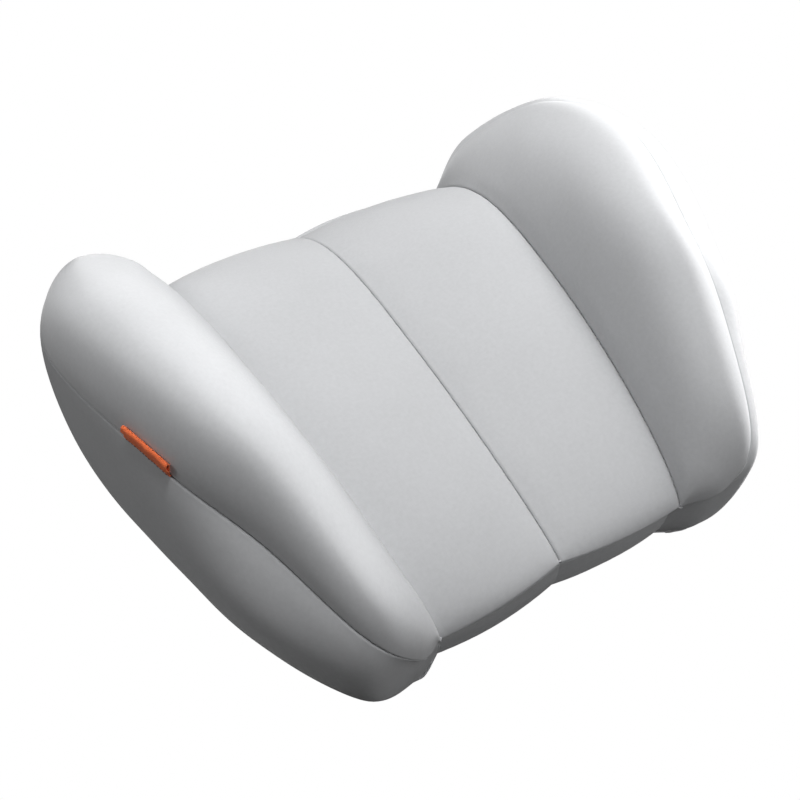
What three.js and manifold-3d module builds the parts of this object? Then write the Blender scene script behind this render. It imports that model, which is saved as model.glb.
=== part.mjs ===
// A lumbar support cushion: a moulded foam core with two thick wings and a hollow between them, in a
// knitted inner liner and a sewn cover of four front panels, a side gusset and a two-piece back. The
// back has a zip and an adjustable strap with a side-release buckle. Millimetres, +Z up: the cushion
// lies on its back, the wide edge is towards +Y and the origin is under the middle of its box.
import * as THREE from "three";
import { mergeVertices } from "three/addons/utils/BufferGeometryUtils.js";
import Module from "manifold-3d";

const wasm = await Module();
wasm.setup();

// ---------------------------------------------------------------- driving dimensions

// Along every seam, t runs from -1 at the narrow lower edge to 1 at the wide upper edge.
const WING_SEAM_X = { low: 79, mid: 97.5, high: 111 };
const WING_SEAM_Y = { low: -162.5, high: 151.5 };
const CENTRE_SEAM_Y = { low: -157.5, high: 156 };
const SCALLOP = { low: 4, high: 5.5 };
const EDGE_HEIGHT = { low: 34, high: 26 };
const CENTRE_HEIGHT = 62;
const WING_SEAM_HEIGHT = 79;
const HEIGHT_TILT = 7.5;
const PANEL_PUFF = 7;
const LOW_END = { power: 2, root: 1.7 };
const HIGH_END = { power: 3.1, root: 1 };

// The wing's outer seam, from the lower end of the wing seam round to its upper end. The side
// gusset stands out past each point by its bulge.
const WING_OUTLINE = [
  { x: 100, y: -171.5, z: 46.5, bulge: -6 },
  { x: 123.5, y: -159.5, z: 73.5, bulge: 7 },
  { x: 147, y: -104.5, z: 96.5, bulge: 17 },
  { x: 169, y: -50.5, z: 114.5, bulge: 14 },
  { x: 195.5, y: 46.5, z: 116, bulge: 14 },
  { x: 174, y: 117.5, z: 101, bulge: 19 },
  { x: 134.5, y: 154.5, z: 56.5, bulge: 21 },
];
const END_BULGE = { lowMiddle: -1, lowCorner: -5, highCorner: 2, highMiddle: 6 };
const OUTLINE_MIDDLE_SPEED = 0.63;
const WING_RISE = 60;
const WING_RISE_TILT = 3;
const WING_CREST = 0.42;
const WING_INNER_POWER = 1.8;
const WING_OUTER_POWER = 3.1;
const WING_END = { power: 2, root: 1 };

// The side gusset bulges as the outline of a flattened ellipse would, and is widest part way down.
const BULGE_AXES = { x: 190, y: 160 };
const GUSSET_WIDEST = 0.7;
const FLOOR_RING = 0.94;
const BAND_RING = 0.88;
const SLOPE_RING = 0.83;
const RECESS_RING = 0.78;
const RECESS_DEPTH = 14;

// Layers, as depths below the outside of the cover.
const COVER_THICKNESS = 1.2;
const LINER_THICKNESS = 0.6;
const LAYER_GAP = 0.5;
const SEAM_TUCK = 0.4;
const PART_GAP = 0.3;

const ROWS = 16;
const CENTRE_COLUMNS = 4;
const WING_COLUMNS = 6;
const GUSSET_STEPS = 3;

// The zip across the back.
const ZIP_Y = -68;
const ZIP_LENGTH = 200;
const ZIP_WINDOW = 18;
const ZIP_END_MARGIN = 5;
const TAPE_THICKNESS = 0.7;
const TAPE_EDGE = 1.5;
const TOOTH_PITCH = 6;
const TOOTH_SHARE = 0.4;
const TOOTH_REACH = 1;
const ROW_EDGE = 3.2;
const ROW_THICKNESS = 1.4;
const STOP_LENGTH = 3;
const SLIDER_LENGTH = 12;
const SLIDER_PLATE = 1.2;
const SLIDER_WALL = 1;
const BRIDGE_SPAN = 7.2;
const BRIDGE_BAR = 1;
const BRIDGE_POST = 1.2;
const BRIDGE_WIDTH = 1.8;
const BRIDGE_CLEARANCE = 3;
const PULLER_LENGTH = 26;
const PULLER_WIDTH = 7;
const PULLER_THICKNESS = 1;
const PULLER_EYE = 6.3;

// The strap across the back.
const STRAP_Y = 22;
const STRAP_WIDTH = 25;
const STRAP_THICKNESS = 1.4;
const STRAP_HALF_SPAN = 124;
const STRAP_TOP = 11.3;
const STRAP_LIFT = { from: 96, to: 104 };
const PATCH_LENGTH = 22;
const PATCH_THICKNESS = 0.8;
const PATCH_MARGIN = 2;
const SIDE_CLEARANCE = 0.5;
const BAR_LOW = 6;
const BAR_LENGTH_X = 3.4;
const TAIL_LENGTH = 24;

// The buckle, measured from the mouth of its socket.
const BUCKLE_MOUTH_X = -30;
const BUCKLE_LOW = 3;
const BUCKLE_HIGH = 12.4;
const BUCKLE_WALL = 2;
const BUCKLE_HALF_WIDTH = 17;
const BUCKLE_CORNER = 4;
const SOCKET_DEPTH = 26.5;
const SOCKET_LENGTH = 40;
const WEBBING_SLOT = 6;
const WINDOW = { from: 12, to: 20, height: 5 };
const PLUG_LENGTH = 16;
const PRONG_LENGTH = 23;
const PRONG_WIDTH = 2.4;
const PRONG_OFFSET = 10.4;
const BARB = { from: 13.5, to: 19.5, reach: 1.4 };
const GUIDE_LENGTH = 18;
const GUIDE_WIDTH = 5;
const BUCKLE_GAP = 0.6;

// The sliding adjuster.
const ADJUSTER_X = 15;
const ADJUSTER_LENGTH = 22;
const ADJUSTER_RAIL = 2.6;
const ADJUSTER_BAR = 3;
const ADJUSTER_CENTRE_BAR = 1.9;
const ADJUSTER_END_BAR = 1.6;

// The loop tag in the left wing's outer seam.
const TAG_AT = 0.035;
const TAG_LENGTH = 32;
const TAG_REACH = 8.5;
const TAG_THICKNESS = 2.6;
const TAG_WALL = 0.7;
const TAG_STAND_OFF = 1;

// ---------------------------------------------------------------- finishes

const finish = (color, roughness, metalness = 0) => () =>
  new THREE.MeshStandardMaterial({ color, roughness, metalness });
const coverFabric = finish(0xb4b5b8, 0.75);
const backFabric = finish(0x8d8f94, 0.85);
const linerKnit = finish(0xe8e6e0, 0.9);
const foam = finish(0xe9dfc2, 0.95);
const zipTape = finish(0x6c6e73, 0.85);
const zipPlastic = finish(0x5c5e63, 0.45);
const zipMetal = finish(0x9a9ca0, 0.35, 1);
const webbing = finish(0x4a4c50, 0.85);
const bucklePlastic = finish(0x2e2f32, 0.5);
const tagRibbon = finish(0xe27a50, 0.8);

// ---------------------------------------------------------------- solids

const cushion = new THREE.Group();

function add(name, geometry, makeMaterial) {
  const mesh = new THREE.Mesh(geometry, makeMaterial());
  mesh.name = name;
  cushion.add(mesh);
}

function toSolid(geometry) {
  const bare = geometry.index ? geometry.toNonIndexed() : geometry.clone();
  bare.deleteAttribute("normal");
  bare.deleteAttribute("uv");
  const merged = mergeVertices(bare, 1e-4);
  return new wasm.Manifold(
    new wasm.Mesh({
      numProp: 3,
      vertProperties: merged.attributes.position.array,
      triVerts: new Uint32Array(merged.index.array),
    }),
  );
}

function toGeometry(solid) {
  const mesh = solid.getMesh();
  const geometry = new THREE.BufferGeometry();
  geometry.setAttribute("position", new THREE.BufferAttribute(mesh.vertProperties, 3));
  geometry.setIndex(new THREE.BufferAttribute(mesh.triVerts, 1));
  return geometry;
}

const join = (...parts) => toGeometry(parts.map(toSolid).reduce((all, part) => all.add(part)));
const cut = (body, ...tools) =>
  toGeometry(tools.map(toSolid).reduce((left, tool) => left.subtract(tool), toSolid(body)));
const keep = (body, room) => toGeometry(toSolid(body).intersect(toSolid(room)));

function block([x0, x1], [y0, y1], [z0, z1]) {
  return new THREE.BoxGeometry(x1 - x0, y1 - y0, z1 - z0).translate((x0 + x1) / 2, (y0 + y1) / 2, (z0 + z1) / 2);
}

// A shape drawn in X and Y, standing from z0 to z1.
function plate(shape, [z0, z1], curveSegments = 4) {
  const depth = z1 - z0;
  return new THREE.ExtrudeGeometry(shape, { depth, bevelEnabled: false, curveSegments }).translate(0, 0, z0);
}

// A shape drawn in X and Z, reaching width / 2 to each side of y.
function ribbon(shape, y, width, curveSegments = 4) {
  return new THREE.ExtrudeGeometry(shape, { depth: width, bevelEnabled: false, curveSegments })
    .rotateX(Math.PI / 2)
    .translate(0, y + width / 2, 0);
}

// An outline through corners given either way round.
function outlineOf(corners) {
  const path = corners.map(([x, y]) => new THREE.Vector2(x, y));
  return new THREE.Shape(THREE.ShapeUtils.isClockWise(path) ? path.reverse() : path);
}

function roundedRectangle([x0, x1], [y0, y1], radius) {
  const shape = new THREE.Shape();
  shape.moveTo(x0 + radius, y0);
  shape.lineTo(x1 - radius, y0);
  shape.absarc(x1 - radius, y0 + radius, radius, -Math.PI / 2, 0);
  shape.lineTo(x1, y1 - radius);
  shape.absarc(x1 - radius, y1 - radius, radius, 0, Math.PI / 2);
  shape.lineTo(x0 + radius, y1);
  shape.absarc(x0 + radius, y1 - radius, radius, Math.PI / 2, Math.PI);
  shape.lineTo(x0, y0 + radius);
  shape.absarc(x0 + radius, y0 + radius, radius, Math.PI, 1.5 * Math.PI);
  return shape;
}

// ---------------------------------------------------------------- the outside of the cover

const mix = (from, to, share) => from + (to - from) * share;

// The parabola through a low, a middle and a high value at t = -1, 0 and 1.
const through = ({ low, mid, high }, t) =>
  (low * t * (t - 1)) / 2 + mid * (1 - t * t) + (high * t * (t + 1)) / 2;

// 1 in the middle, 0 at t = -1 and 1, rounded over at the ends.
const roundedOver = ({ power, root }, t) => Math.max(0, 1 - Math.abs(t) ** power) ** (1 / root);

// Height of a seam whose crown is at the given height.
function seamHeight(crown, t) {
  const edge = t < 0 ? EDGE_HEIGHT.low : EDGE_HEIGHT.high;
  return mix(edge, crown + HEIGHT_TILT * t, roundedOver(t < 0 ? LOW_END : HIGH_END, t));
}

// A centre panel, from the centre seam at across = 0 to the wing seam at across = 1.
function centrePoint(across, t) {
  const scallop = 4 * across * (1 - across);
  const low = mix(CENTRE_SEAM_Y.low, WING_SEAM_Y.low, across ** 2) - SCALLOP.low * scallop;
  const high = mix(CENTRE_SEAM_Y.high, WING_SEAM_Y.high, across ** 2) + SCALLOP.high * scallop;
  const puff = PANEL_PUFF * (1 - (2 * across - 1) ** 2);
  const crown = mix(CENTRE_HEIGHT, WING_SEAM_HEIGHT, across ** 2) + puff;
  return new THREE.Vector3(through(WING_SEAM_X, t) * across, mix(low, high, (t + 1) / 2), seamHeight(crown, t));
}

const lowCorner = { ...centrePoint(1, -1), bulge: END_BULGE.lowCorner };
const highCorner = { ...centrePoint(1, 1), bulge: END_BULGE.highCorner };
const outlinePoints = [lowCorner, ...WING_OUTLINE, highCorner];
const smooth = (vectors) => new THREE.CatmullRomCurve3(vectors, false, "catmullrom", 0.5);
const outlineCurve = smooth(outlinePoints.map(({ x, y, z }) => new THREE.Vector3(x, y, z)));
const bulgeCurve = smooth(outlinePoints.map(({ bulge }) => new THREE.Vector3(bulge, 0, 0)));

// The outline is run along faster near its ends, where it turns round the ends of the wing.
const outlineShare = (t) =>
  0.5 + 0.5 * (OUTLINE_MIDDLE_SPEED * t + (1 - OUTLINE_MIDDLE_SPEED) * t * Math.abs(t) ** 3);

// A wing panel, from the wing seam at across = 0 over its crest to the outer seam at across = 1.
function wingPoint(across, t) {
  const inner = centrePoint(1, t);
  const outer = outlineCurve.getPoint(outlineShare(t));
  const rise = (WING_RISE + WING_RISE_TILT * t) * roundedOver(WING_END, t);
  const crestHeight = inner.z + rise - mix(inner.z, outer.z, WING_CREST);
  const climb = 1 - (1 - across / WING_CREST) ** WING_INNER_POWER;
  const fall = 1 - Math.max(0, (across - WING_CREST) / (1 - WING_CREST)) ** WING_OUTER_POWER;
  const point = inner.clone().lerp(outer, across);
  point.z += crestHeight * (across < WING_CREST ? climb : fall);
  return point;
}

const points = [];
const place = (point) => points.push(point) - 1;
const mirrored = (point, side) => new THREE.Vector3(point.x * side, point.y, point.z);
const rows = Array.from({ length: ROWS + 1 }, (_, j) => Math.sin((Math.PI / 2) * ((2 * j) / ROWS - 1)));

// Columns of point numbers: the centre panels from the left wing seam to the right one.
const centreColumns = [];
for (let i = -CENTRE_COLUMNS; i <= CENTRE_COLUMNS; i++) {
  const side = i < 0 ? -1 : 1;
  centreColumns.push(rows.map((t) => place(mirrored(centrePoint(Math.abs(i) / CENTRE_COLUMNS, t), side))));
}
const wingSeamColumn = (side) => centreColumns[CENTRE_COLUMNS * (1 + side)];

// A wing's columns, from its seam outwards, all meeting at the two ends of the seam.
function wingColumns(side) {
  const seam = wingSeamColumn(side);
  const columns = [seam];
  for (let i = 1; i <= WING_COLUMNS; i++) {
    columns.push(
      rows.map((t, j) =>
        j === 0 || j === ROWS ? seam[j] : place(mirrored(wingPoint(i / WING_COLUMNS, t), side)),
      ),
    );
  }
  return columns;
}
const rightColumns = wingColumns(1);
const leftColumns = wingColumns(-1);

const panels = {};

// Two triangles seen anticlockwise from outside, or one where two corners are the same point.
function quad(panel, a, b, c, d) {
  const list = (panels[panel] ??= []);
  if (a !== b && b !== c) list.push([a, b, c]);
  if (a !== d && c !== d) list.push([a, c, d]);
}

function sew(panel, columns, side = 1) {
  for (let i = 0; i + 1 < columns.length; i++) {
    const [near, far] = side > 0 ? [columns[i], columns[i + 1]] : [columns[i + 1], columns[i]];
    for (let j = 0; j < ROWS; j++) quad(panel, near[j], far[j], far[j + 1], near[j + 1]);
  }
}
sew("front_panel_wing_left", leftColumns, -1);
sew("front_panel_centre_left", centreColumns.slice(0, CENTRE_COLUMNS + 1));
sew("front_panel_centre_right", centreColumns.slice(CENTRE_COLUMNS));
sew("front_panel_wing_right", rightColumns);

// The outer seam, anticlockwise seen from the front, from the lower end of the left wing seam.
const endBulge = (across, middle, corner) => mix(middle, corner, across ** 2);
const outerSeam = [];
for (let i = 0; i < centreColumns.length; i++) {
  const across = Math.abs(i / CENTRE_COLUMNS - 1);
  const bulge = endBulge(across, END_BULGE.lowMiddle, END_BULGE.lowCorner);
  outerSeam.push({ point: centreColumns[i][0], bulge });
}
const wingBulge = (j) => bulgeCurve.getPoint(outlineShare(rows[j])).x;
for (let j = 1; j < ROWS; j++) outerSeam.push({ point: rightColumns[WING_COLUMNS][j], bulge: wingBulge(j) });
for (let i = centreColumns.length - 1; i >= 0; i--) {
  const across = Math.abs(i / CENTRE_COLUMNS - 1);
  const bulge = endBulge(across, END_BULGE.highMiddle, END_BULGE.highCorner);
  outerSeam.push({ point: centreColumns[i][ROWS], bulge });
}
for (let j = ROWS - 1; j > 0; j--) outerSeam.push({ point: leftColumns[WING_COLUMNS][j], bulge: wingBulge(j) });

// One ring round the side: share runs from 0 at the outer seam, past 1 at the widest place, to 2 at
// the floor.
function sideRing(share) {
  return outerSeam.map(({ point, bulge }) => {
    const { x, y, z } = points[point];
    const outward = new THREE.Vector2(x / BULGE_AXES.x ** 2, y / BULGE_AXES.y ** 2).normalize();
    const widestZ = z * GUSSET_WIDEST;
    const wide = [x + outward.x * bulge, y + outward.y * bulge];
    if (share <= 1) {
      const out = 1 - (1 - share) ** 2;
      return place(new THREE.Vector3(mix(x, wide[0], out), mix(y, wide[1], out), mix(z, widestZ, share)));
    }
    const turn = ((share - 1) * Math.PI) / 2;
    const inwards = 1 - Math.cos(turn);
    const foot = [x * FLOOR_RING, y * FLOOR_RING];
    const height = share === 2 ? 0 : widestZ * (1 - Math.sin(turn));
    return place(new THREE.Vector3(mix(wide[0], foot[0], inwards), mix(wide[1], foot[1], inwards), height));
  });
}
const scaledRing = (scale, height) =>
  outerSeam.map(({ point }) => place(new THREE.Vector3(points[point].x * scale, points[point].y * scale, height)));

function wrap(panel, upper, lower) {
  upper.forEach((top, r) => {
    const next = (r + 1) % upper.length;
    quad(panel, lower[r], lower[next], upper[next], top);
  });
}
let ring = outerSeam.map(({ point }) => point);
for (let step = 1; step <= 2 * GUSSET_STEPS; step++) {
  const lower = sideRing(step / GUSSET_STEPS);
  wrap("side_gusset", ring, lower);
  ring = lower;
}
for (const [scale, height] of [
  [BAND_RING, 0],
  [SLOPE_RING, RECESS_DEPTH / 2],
  [RECESS_RING, RECESS_DEPTH],
]) {
  const inner = scaledRing(scale, height);
  wrap("back", ring, inner);
  ring = inner;
}
const recess = ring.map((point) => new THREE.Vector2(points[point].x, points[point].y));
for (const [a, b, c] of THREE.ShapeUtils.triangulateShape(recess, [])) {
  panels.back.push([ring[c], ring[b], ring[a]]);
}

// ---------------------------------------------------------------- layers under the outside

const skin = Object.values(panels).flat();

// For each point, the direction in which a layer lies deeper, long enough to keep the layer's facets
// at their depth.
const inward = points.map(() => new THREE.Vector3());
const faceNormals = skin.map((face) => {
  const [a, b, c] = face.map((v) => points[v]);
  return b.clone().sub(a).cross(c.clone().sub(a)).normalize();
});
const cornerAngles = skin.map((face) =>
  face.map((v, k) => {
    const next = points[face[(k + 1) % 3]].clone().sub(points[v]);
    const last = points[face[(k + 2) % 3]].clone().sub(points[v]);
    return next.angleTo(last);
  }),
);
skin.forEach((face, f) =>
  face.forEach((v, k) => inward[v].addScaledVector(faceNormals[f], -cornerAngles[f][k])),
);
const facing = points.map(() => ({ sum: 0, weight: 0 }));
skin.forEach((face, f) =>
  face.forEach((v, k) => {
    facing[v].sum -= faceNormals[f].dot(inward[v].clone().normalize()) * cornerAngles[f][k];
    facing[v].weight += cornerAngles[f][k];
  }),
);
inward.forEach((direction, v) => direction.setLength(Math.min(1.5, facing[v].weight / facing[v].sum)));

const atDepth = (v, depth) => points[v].clone().addScaledVector(inward[v], depth);

function geometryOf(triangles) {
  const geometry = new THREE.BufferGeometry();
  const corners = triangles.flat().flatMap((point) => point.toArray());
  geometry.setAttribute("position", new THREE.Float32BufferAttribute(corners, 3));
  return geometry;
}

// Everything inside the cover down from one depth.
const wholeAt = (depth) => geometryOf(skin.map((face) => face.map((v) => atDepth(v, depth))));

// One panel as sheet material between two depths, its edges drawn in from its seams.
function sheet(faces, upperDepth, lowerDepth) {
  const edges = new Map();
  for (const face of faces) {
    face.forEach((v, k) => edges.set(`${v},${face[(k + 1) % 3]}`, [v, face[(k + 1) % 3]]));
  }
  const rim = [...edges.values()].filter(([a, b]) => !edges.has(`${b},${a}`));
  const onRim = new Set(rim.flat());
  const drawn = new Map();
  for (const face of faces) {
    for (const v of face.filter((corner) => onRim.has(corner))) {
      const others = face.filter((corner) => corner !== v);
      const inner = others.filter((corner) => !onRim.has(corner));
      const pull = drawn.get(v) ?? { inner: new THREE.Vector3(), any: new THREE.Vector3() };
      for (const other of inner) pull.inner.add(points[other].clone().sub(points[v]).normalize());
      for (const other of others) pull.any.add(points[other].clone().sub(points[v]).normalize());
      drawn.set(v, pull);
    }
  }
  const corner = (v, depth) => {
    const point = atDepth(v, depth);
    const pull = drawn.get(v);
    if (pull) point.add((pull.inner.length() > 0.1 ? pull.inner : pull.any).clone().setLength(SEAM_TUCK));
    return point;
  };
  const triangles = [];
  for (const [a, b, c] of faces) {
    triangles.push([corner(a, upperDepth), corner(b, upperDepth), corner(c, upperDepth)]);
    triangles.push([corner(c, lowerDepth), corner(b, lowerDepth), corner(a, lowerDepth)]);
  }
  for (const [a, b] of rim) {
    triangles.push([corner(b, upperDepth), corner(a, upperDepth), corner(a, lowerDepth)]);
    triangles.push([corner(b, upperDepth), corner(a, lowerDepth), corner(b, lowerDepth)]);
  }
  return geometryOf(triangles);
}

const LINER_DEPTH = COVER_THICKNESS + LAYER_GAP;
const FOAM_DEPTH = LINER_DEPTH + LINER_THICKNESS + LAYER_GAP;
const WIDE = 400;

function addPadding() {
  const window = block(
    [-ZIP_LENGTH / 2, ZIP_LENGTH / 2],
    [ZIP_Y - ZIP_WINDOW / 4, ZIP_Y + ZIP_WINDOW / 4],
    [RECESS_DEPTH, RECESS_DEPTH + LINER_DEPTH + 2 * LINER_THICKNESS],
  );
  add("foam_core", wholeAt(FOAM_DEPTH), foam);
  add("inner_liner", cut(wholeAt(LINER_DEPTH), wholeAt(LINER_DEPTH + LINER_THICKNESS), window), linerKnit);
}

function addCover() {
  for (const name of Object.keys(panels).filter((panel) => panel !== "back")) {
    add(name, sheet(panels[name], 0, COVER_THICKNESS), coverFabric);
  }
  const back = sheet(panels.back, 0, COVER_THICKNESS);
  const windowX = ZIP_LENGTH / 2 + ZIP_END_MARGIN;
  const window = block([-windowX, windowX], [ZIP_Y - ZIP_WINDOW / 2, ZIP_Y + ZIP_WINDOW / 2], [0, WIDE]);
  const upper = block([-WIDE, WIDE], [ZIP_Y + SEAM_TUCK, WIDE], [-WIDE, WIDE]);
  const lower = block([-WIDE, WIDE], [-WIDE, ZIP_Y - SEAM_TUCK], [-WIDE, WIDE]);
  add("back_panel_upper", cut(keep(back, upper), window), backFabric);
  add("back_panel_lower", cut(keep(back, lower), window), backFabric);
}

// ---------------------------------------------------------------- zip

const ROW_TOP = RECESS_DEPTH - 0.1;
const ROW_LOW = ROW_TOP - ROW_THICKNESS;
const SLIDER_TOP = ROW_LOW - PART_GAP;
const SLIDER_X = -ZIP_LENGTH / 2 + SLIDER_LENGTH / 2;
const PLATE_LOW = SLIDER_TOP - SLIDER_PLATE;
const BRIDGE_LOW = PLATE_LOW - BRIDGE_CLEARANCE - BRIDGE_BAR;
const PULLER_Z = PLATE_LOW - BRIDGE_CLEARANCE / 2;

// One row of teeth as a comb, its teeth reaching past the middle between those of the other row.
function toothRow(side) {
  const half = ZIP_LENGTH / 2;
  const shift = side > 0 ? 0 : TOOTH_PITCH / 2;
  const width = TOOTH_PITCH * TOOTH_SHARE;
  const inner = TOOTH_REACH + 0.6;
  const corners = [[-half, inner]];
  for (let x = -half + TOOTH_PITCH / 2 + shift; x + width / 2 < half; x += TOOTH_PITCH) {
    corners.push([x - width / 2, inner], [x - width / 2, -TOOTH_REACH]);
    corners.push([x + width / 2, -TOOTH_REACH], [x + width / 2, inner]);
  }
  corners.push([half, inner], [half, ROW_EDGE], [-half, ROW_EDGE]);
  return plate(outlineOf(corners.map(([x, y]) => [x, ZIP_Y + y * side])), [ROW_LOW, ROW_TOP]);
}

function addZip() {
  const windowX = ZIP_LENGTH / 2 + ZIP_END_MARGIN - PART_GAP;
  const tapeEdge = ZIP_WINDOW / 2 - PART_GAP;
  const tapeZ = [RECESS_DEPTH + 0.2, RECESS_DEPTH + 0.2 + TAPE_THICKNESS];
  for (const [name, side] of [["upper", 1], ["lower", -1]]) {
    const ends = [ZIP_Y + side * TAPE_EDGE, ZIP_Y + side * tapeEdge].sort((a, b) => a - b);
    add(`zip_tape_${name}`, block([-windowX, windowX], ends, tapeZ), zipTape);
    add(`zip_teeth_${name}`, toothRow(side), zipPlastic);
  }
  for (const [name, side] of [["start", -1], ["end", 1]]) {
    const near = side * (ZIP_LENGTH / 2 + PART_GAP);
    const ends = [near, near + side * STOP_LENGTH].sort((a, b) => a - b);
    add(`zip_stop_${name}`, block(ends, [ZIP_Y - ROW_EDGE, ZIP_Y + ROW_EDGE], [ROW_LOW, ROW_TOP]), zipMetal);
  }
  addSlider();
}

function addSlider() {
  const halfWidth = ROW_EDGE + PART_GAP + SLIDER_WALL;
  const along = [SLIDER_X - SLIDER_LENGTH / 2, SLIDER_X + SLIDER_LENGTH / 2];
  const outline = roundedRectangle(along, [ZIP_Y - halfWidth, ZIP_Y + halfWidth], 2.5);
  const wallX = [along[0] + 2, along[1] - 2];
  const wallZ = [SLIDER_TOP - 0.2, ROW_TOP];
  const half = BRIDGE_SPAN / 2;
  const middle = [ZIP_Y - BRIDGE_WIDTH / 2, ZIP_Y + BRIDGE_WIDTH / 2];
  const post = (x) => block([x, x + BRIDGE_POST], middle, [BRIDGE_LOW, PLATE_LOW + 0.2]);
  add(
    "zip_slider",
    join(
      plate(outline, [PLATE_LOW, SLIDER_TOP]),
      block(wallX, [ZIP_Y - halfWidth, ZIP_Y - halfWidth + SLIDER_WALL], wallZ),
      block(wallX, [ZIP_Y + halfWidth - SLIDER_WALL, ZIP_Y + halfWidth], wallZ),
      post(SLIDER_X - half),
      post(SLIDER_X + half - BRIDGE_POST),
      block([SLIDER_X - half, SLIDER_X + half], middle, [BRIDGE_LOW, BRIDGE_LOW + BRIDGE_BAR]),
    ),
    zipMetal,
  );
  const eyeHalf = BRIDGE_WIDTH / 2 + 0.5;
  const start = SLIDER_X - 1.2;
  const crossBar = 1.4;
  const tab = roundedRectangle([start, start + PULLER_LENGTH], [ZIP_Y - PULLER_WIDTH / 2, ZIP_Y + PULLER_WIDTH / 2], 2);
  const eye = [start + crossBar, start + crossBar + PULLER_EYE];
  tab.holes.push(roundedRectangle(eye, [ZIP_Y - eyeHalf, ZIP_Y + eyeHalf], 0.5));
  const thick = [PULLER_Z - PULLER_THICKNESS / 2, PULLER_Z + PULLER_THICKNESS / 2];
  add("zip_puller", plate(tab, thick), zipMetal);
}

// ---------------------------------------------------------------- strap, buckle and adjuster

const STRAP_LOW = STRAP_TOP - STRAP_THICKNESS;
const SOCKET_END_X = BUCKLE_MOUTH_X - SOCKET_LENGTH;
const PLUG_START_X = BUCKLE_MOUTH_X + BUCKLE_GAP;
const PLUG_END_X = PLUG_START_X + PLUG_LENGTH;
const SOCKET_BAR = [SOCKET_END_X, SOCKET_END_X + BAR_LENGTH_X];
const PLUG_BAR = [PLUG_END_X - BAR_LENGTH_X, PLUG_END_X];
const BAR_TOP = STRAP_LOW - PART_GAP;
const UNDER_TOP = BAR_LOW - PART_GAP;
const UNDER_LOW = UNDER_TOP - STRAP_THICKNESS;
const STRAP_SIDES = [STRAP_Y - STRAP_WIDTH / 2 - SIDE_CLEARANCE, STRAP_Y + STRAP_WIDTH / 2 + SIDE_CLEARANCE];

// The strap's long top run: level in the middle and lifted against the back panel at its end.
function liftedRun(side) {
  const lift = RECESS_DEPTH - PART_GAP - STRAP_TOP;
  const upper = [[STRAP_LIFT.from, STRAP_TOP], [STRAP_LIFT.to, STRAP_TOP + lift], [STRAP_HALF_SPAN, STRAP_TOP + lift]];
  const lower = upper.map(([x, z]) => [x, z - STRAP_THICKNESS]).reverse();
  return [...upper, ...lower].map(([x, z]) => [x * side, z]);
}

// The left half ends in an eye round the socket's bar, with its tail sewn back on itself.
function addLeftStrap() {
  const [barLow, barHigh] = SOCKET_BAR;
  const noseX = barHigh + PART_GAP + STRAP_THICKNESS;
  const tailX = barLow - TAIL_LENGTH;
  const shape = outlineOf([
    ...liftedRun(-1).reverse(),
    [noseX, STRAP_TOP],
    [noseX, UNDER_LOW],
    [barLow - 3, UNDER_LOW],
    [tailX + 12, STRAP_LOW - STRAP_THICKNESS],
    [tailX, STRAP_LOW - STRAP_THICKNESS],
    [tailX, STRAP_LOW],
  ]);
  const room = outlineOf([
    [barLow - 5, STRAP_LOW],
    [barLow - 3, UNDER_TOP],
    [barHigh + PART_GAP, UNDER_TOP],
    [barHigh + PART_GAP, STRAP_LOW],
  ]);
  add("strap_left", cut(ribbon(shape, STRAP_Y, STRAP_WIDTH), ribbon(room, STRAP_Y, STRAP_WIDTH + 1)), webbing);
}

// The right half runs through the adjuster to the plug's bar and turns back under it.
function addRightStrap() {
  const [barLow, barHigh] = PLUG_BAR;
  const noseX = barLow - PART_GAP - STRAP_THICKNESS;
  const endX = barHigh + 3;
  const shape = outlineOf([
    ...liftedRun(1),
    [barLow - PART_GAP, STRAP_LOW],
    [barLow - PART_GAP, UNDER_TOP],
    [endX, UNDER_TOP],
    [endX, UNDER_LOW],
    [noseX, UNDER_LOW],
    [noseX, STRAP_TOP],
  ]);
  add("strap_right", ribbon(shape, STRAP_Y, STRAP_WIDTH), webbing);

  // The return run goes on from there to an eye round the adjuster's middle bar.
  const eyeFrom = ADJUSTER_X - ADJUSTER_BAR / 2 - PART_GAP;
  const eyeTo = ADJUSTER_X + ADJUSTER_BAR / 2 + PART_GAP;
  const eyeTop = BAR_LOW + ADJUSTER_CENTRE_BAR + PART_GAP;
  const nose = eyeTo + STRAP_THICKNESS;
  const back = outlineOf([
    [endX + PART_GAP, UNDER_LOW],
    [nose, UNDER_LOW],
    [nose, eyeTop + STRAP_THICKNESS],
    [eyeFrom - 1, eyeTop + STRAP_THICKNESS],
    [eyeFrom - 6, UNDER_TOP + STRAP_THICKNESS],
    [endX + 6, UNDER_TOP + STRAP_THICKNESS],
    [endX + 6, UNDER_TOP],
    [endX + PART_GAP, UNDER_TOP],
  ]);
  const room = outlineOf([
    [eyeFrom, UNDER_TOP],
    [eyeFrom, eyeTop],
    [eyeTo, eyeTop],
    [eyeTo, UNDER_TOP],
  ]);
  add("strap_return", cut(ribbon(back, STRAP_Y, STRAP_WIDTH), ribbon(room, STRAP_Y, STRAP_WIDTH + 1)), webbing);
}

function addPatches() {
  const top = RECESS_DEPTH - 2 * PART_GAP - STRAP_THICKNESS;
  const reach = STRAP_WIDTH / 2 + PATCH_MARGIN;
  for (const [name, side] of [["left", -1], ["right", 1]]) {
    const ends = [side * (STRAP_HALF_SPAN + PATCH_MARGIN - PATCH_LENGTH), side * (STRAP_HALF_SPAN + PATCH_MARGIN)];
    const outline = roundedRectangle(ends.sort((a, b) => a - b), [STRAP_Y - reach, STRAP_Y + reach], 2);
    add(`strap_patch_${name}`, plate(outline, [top - PATCH_THICKNESS, top]), backFabric);
  }
}

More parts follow.
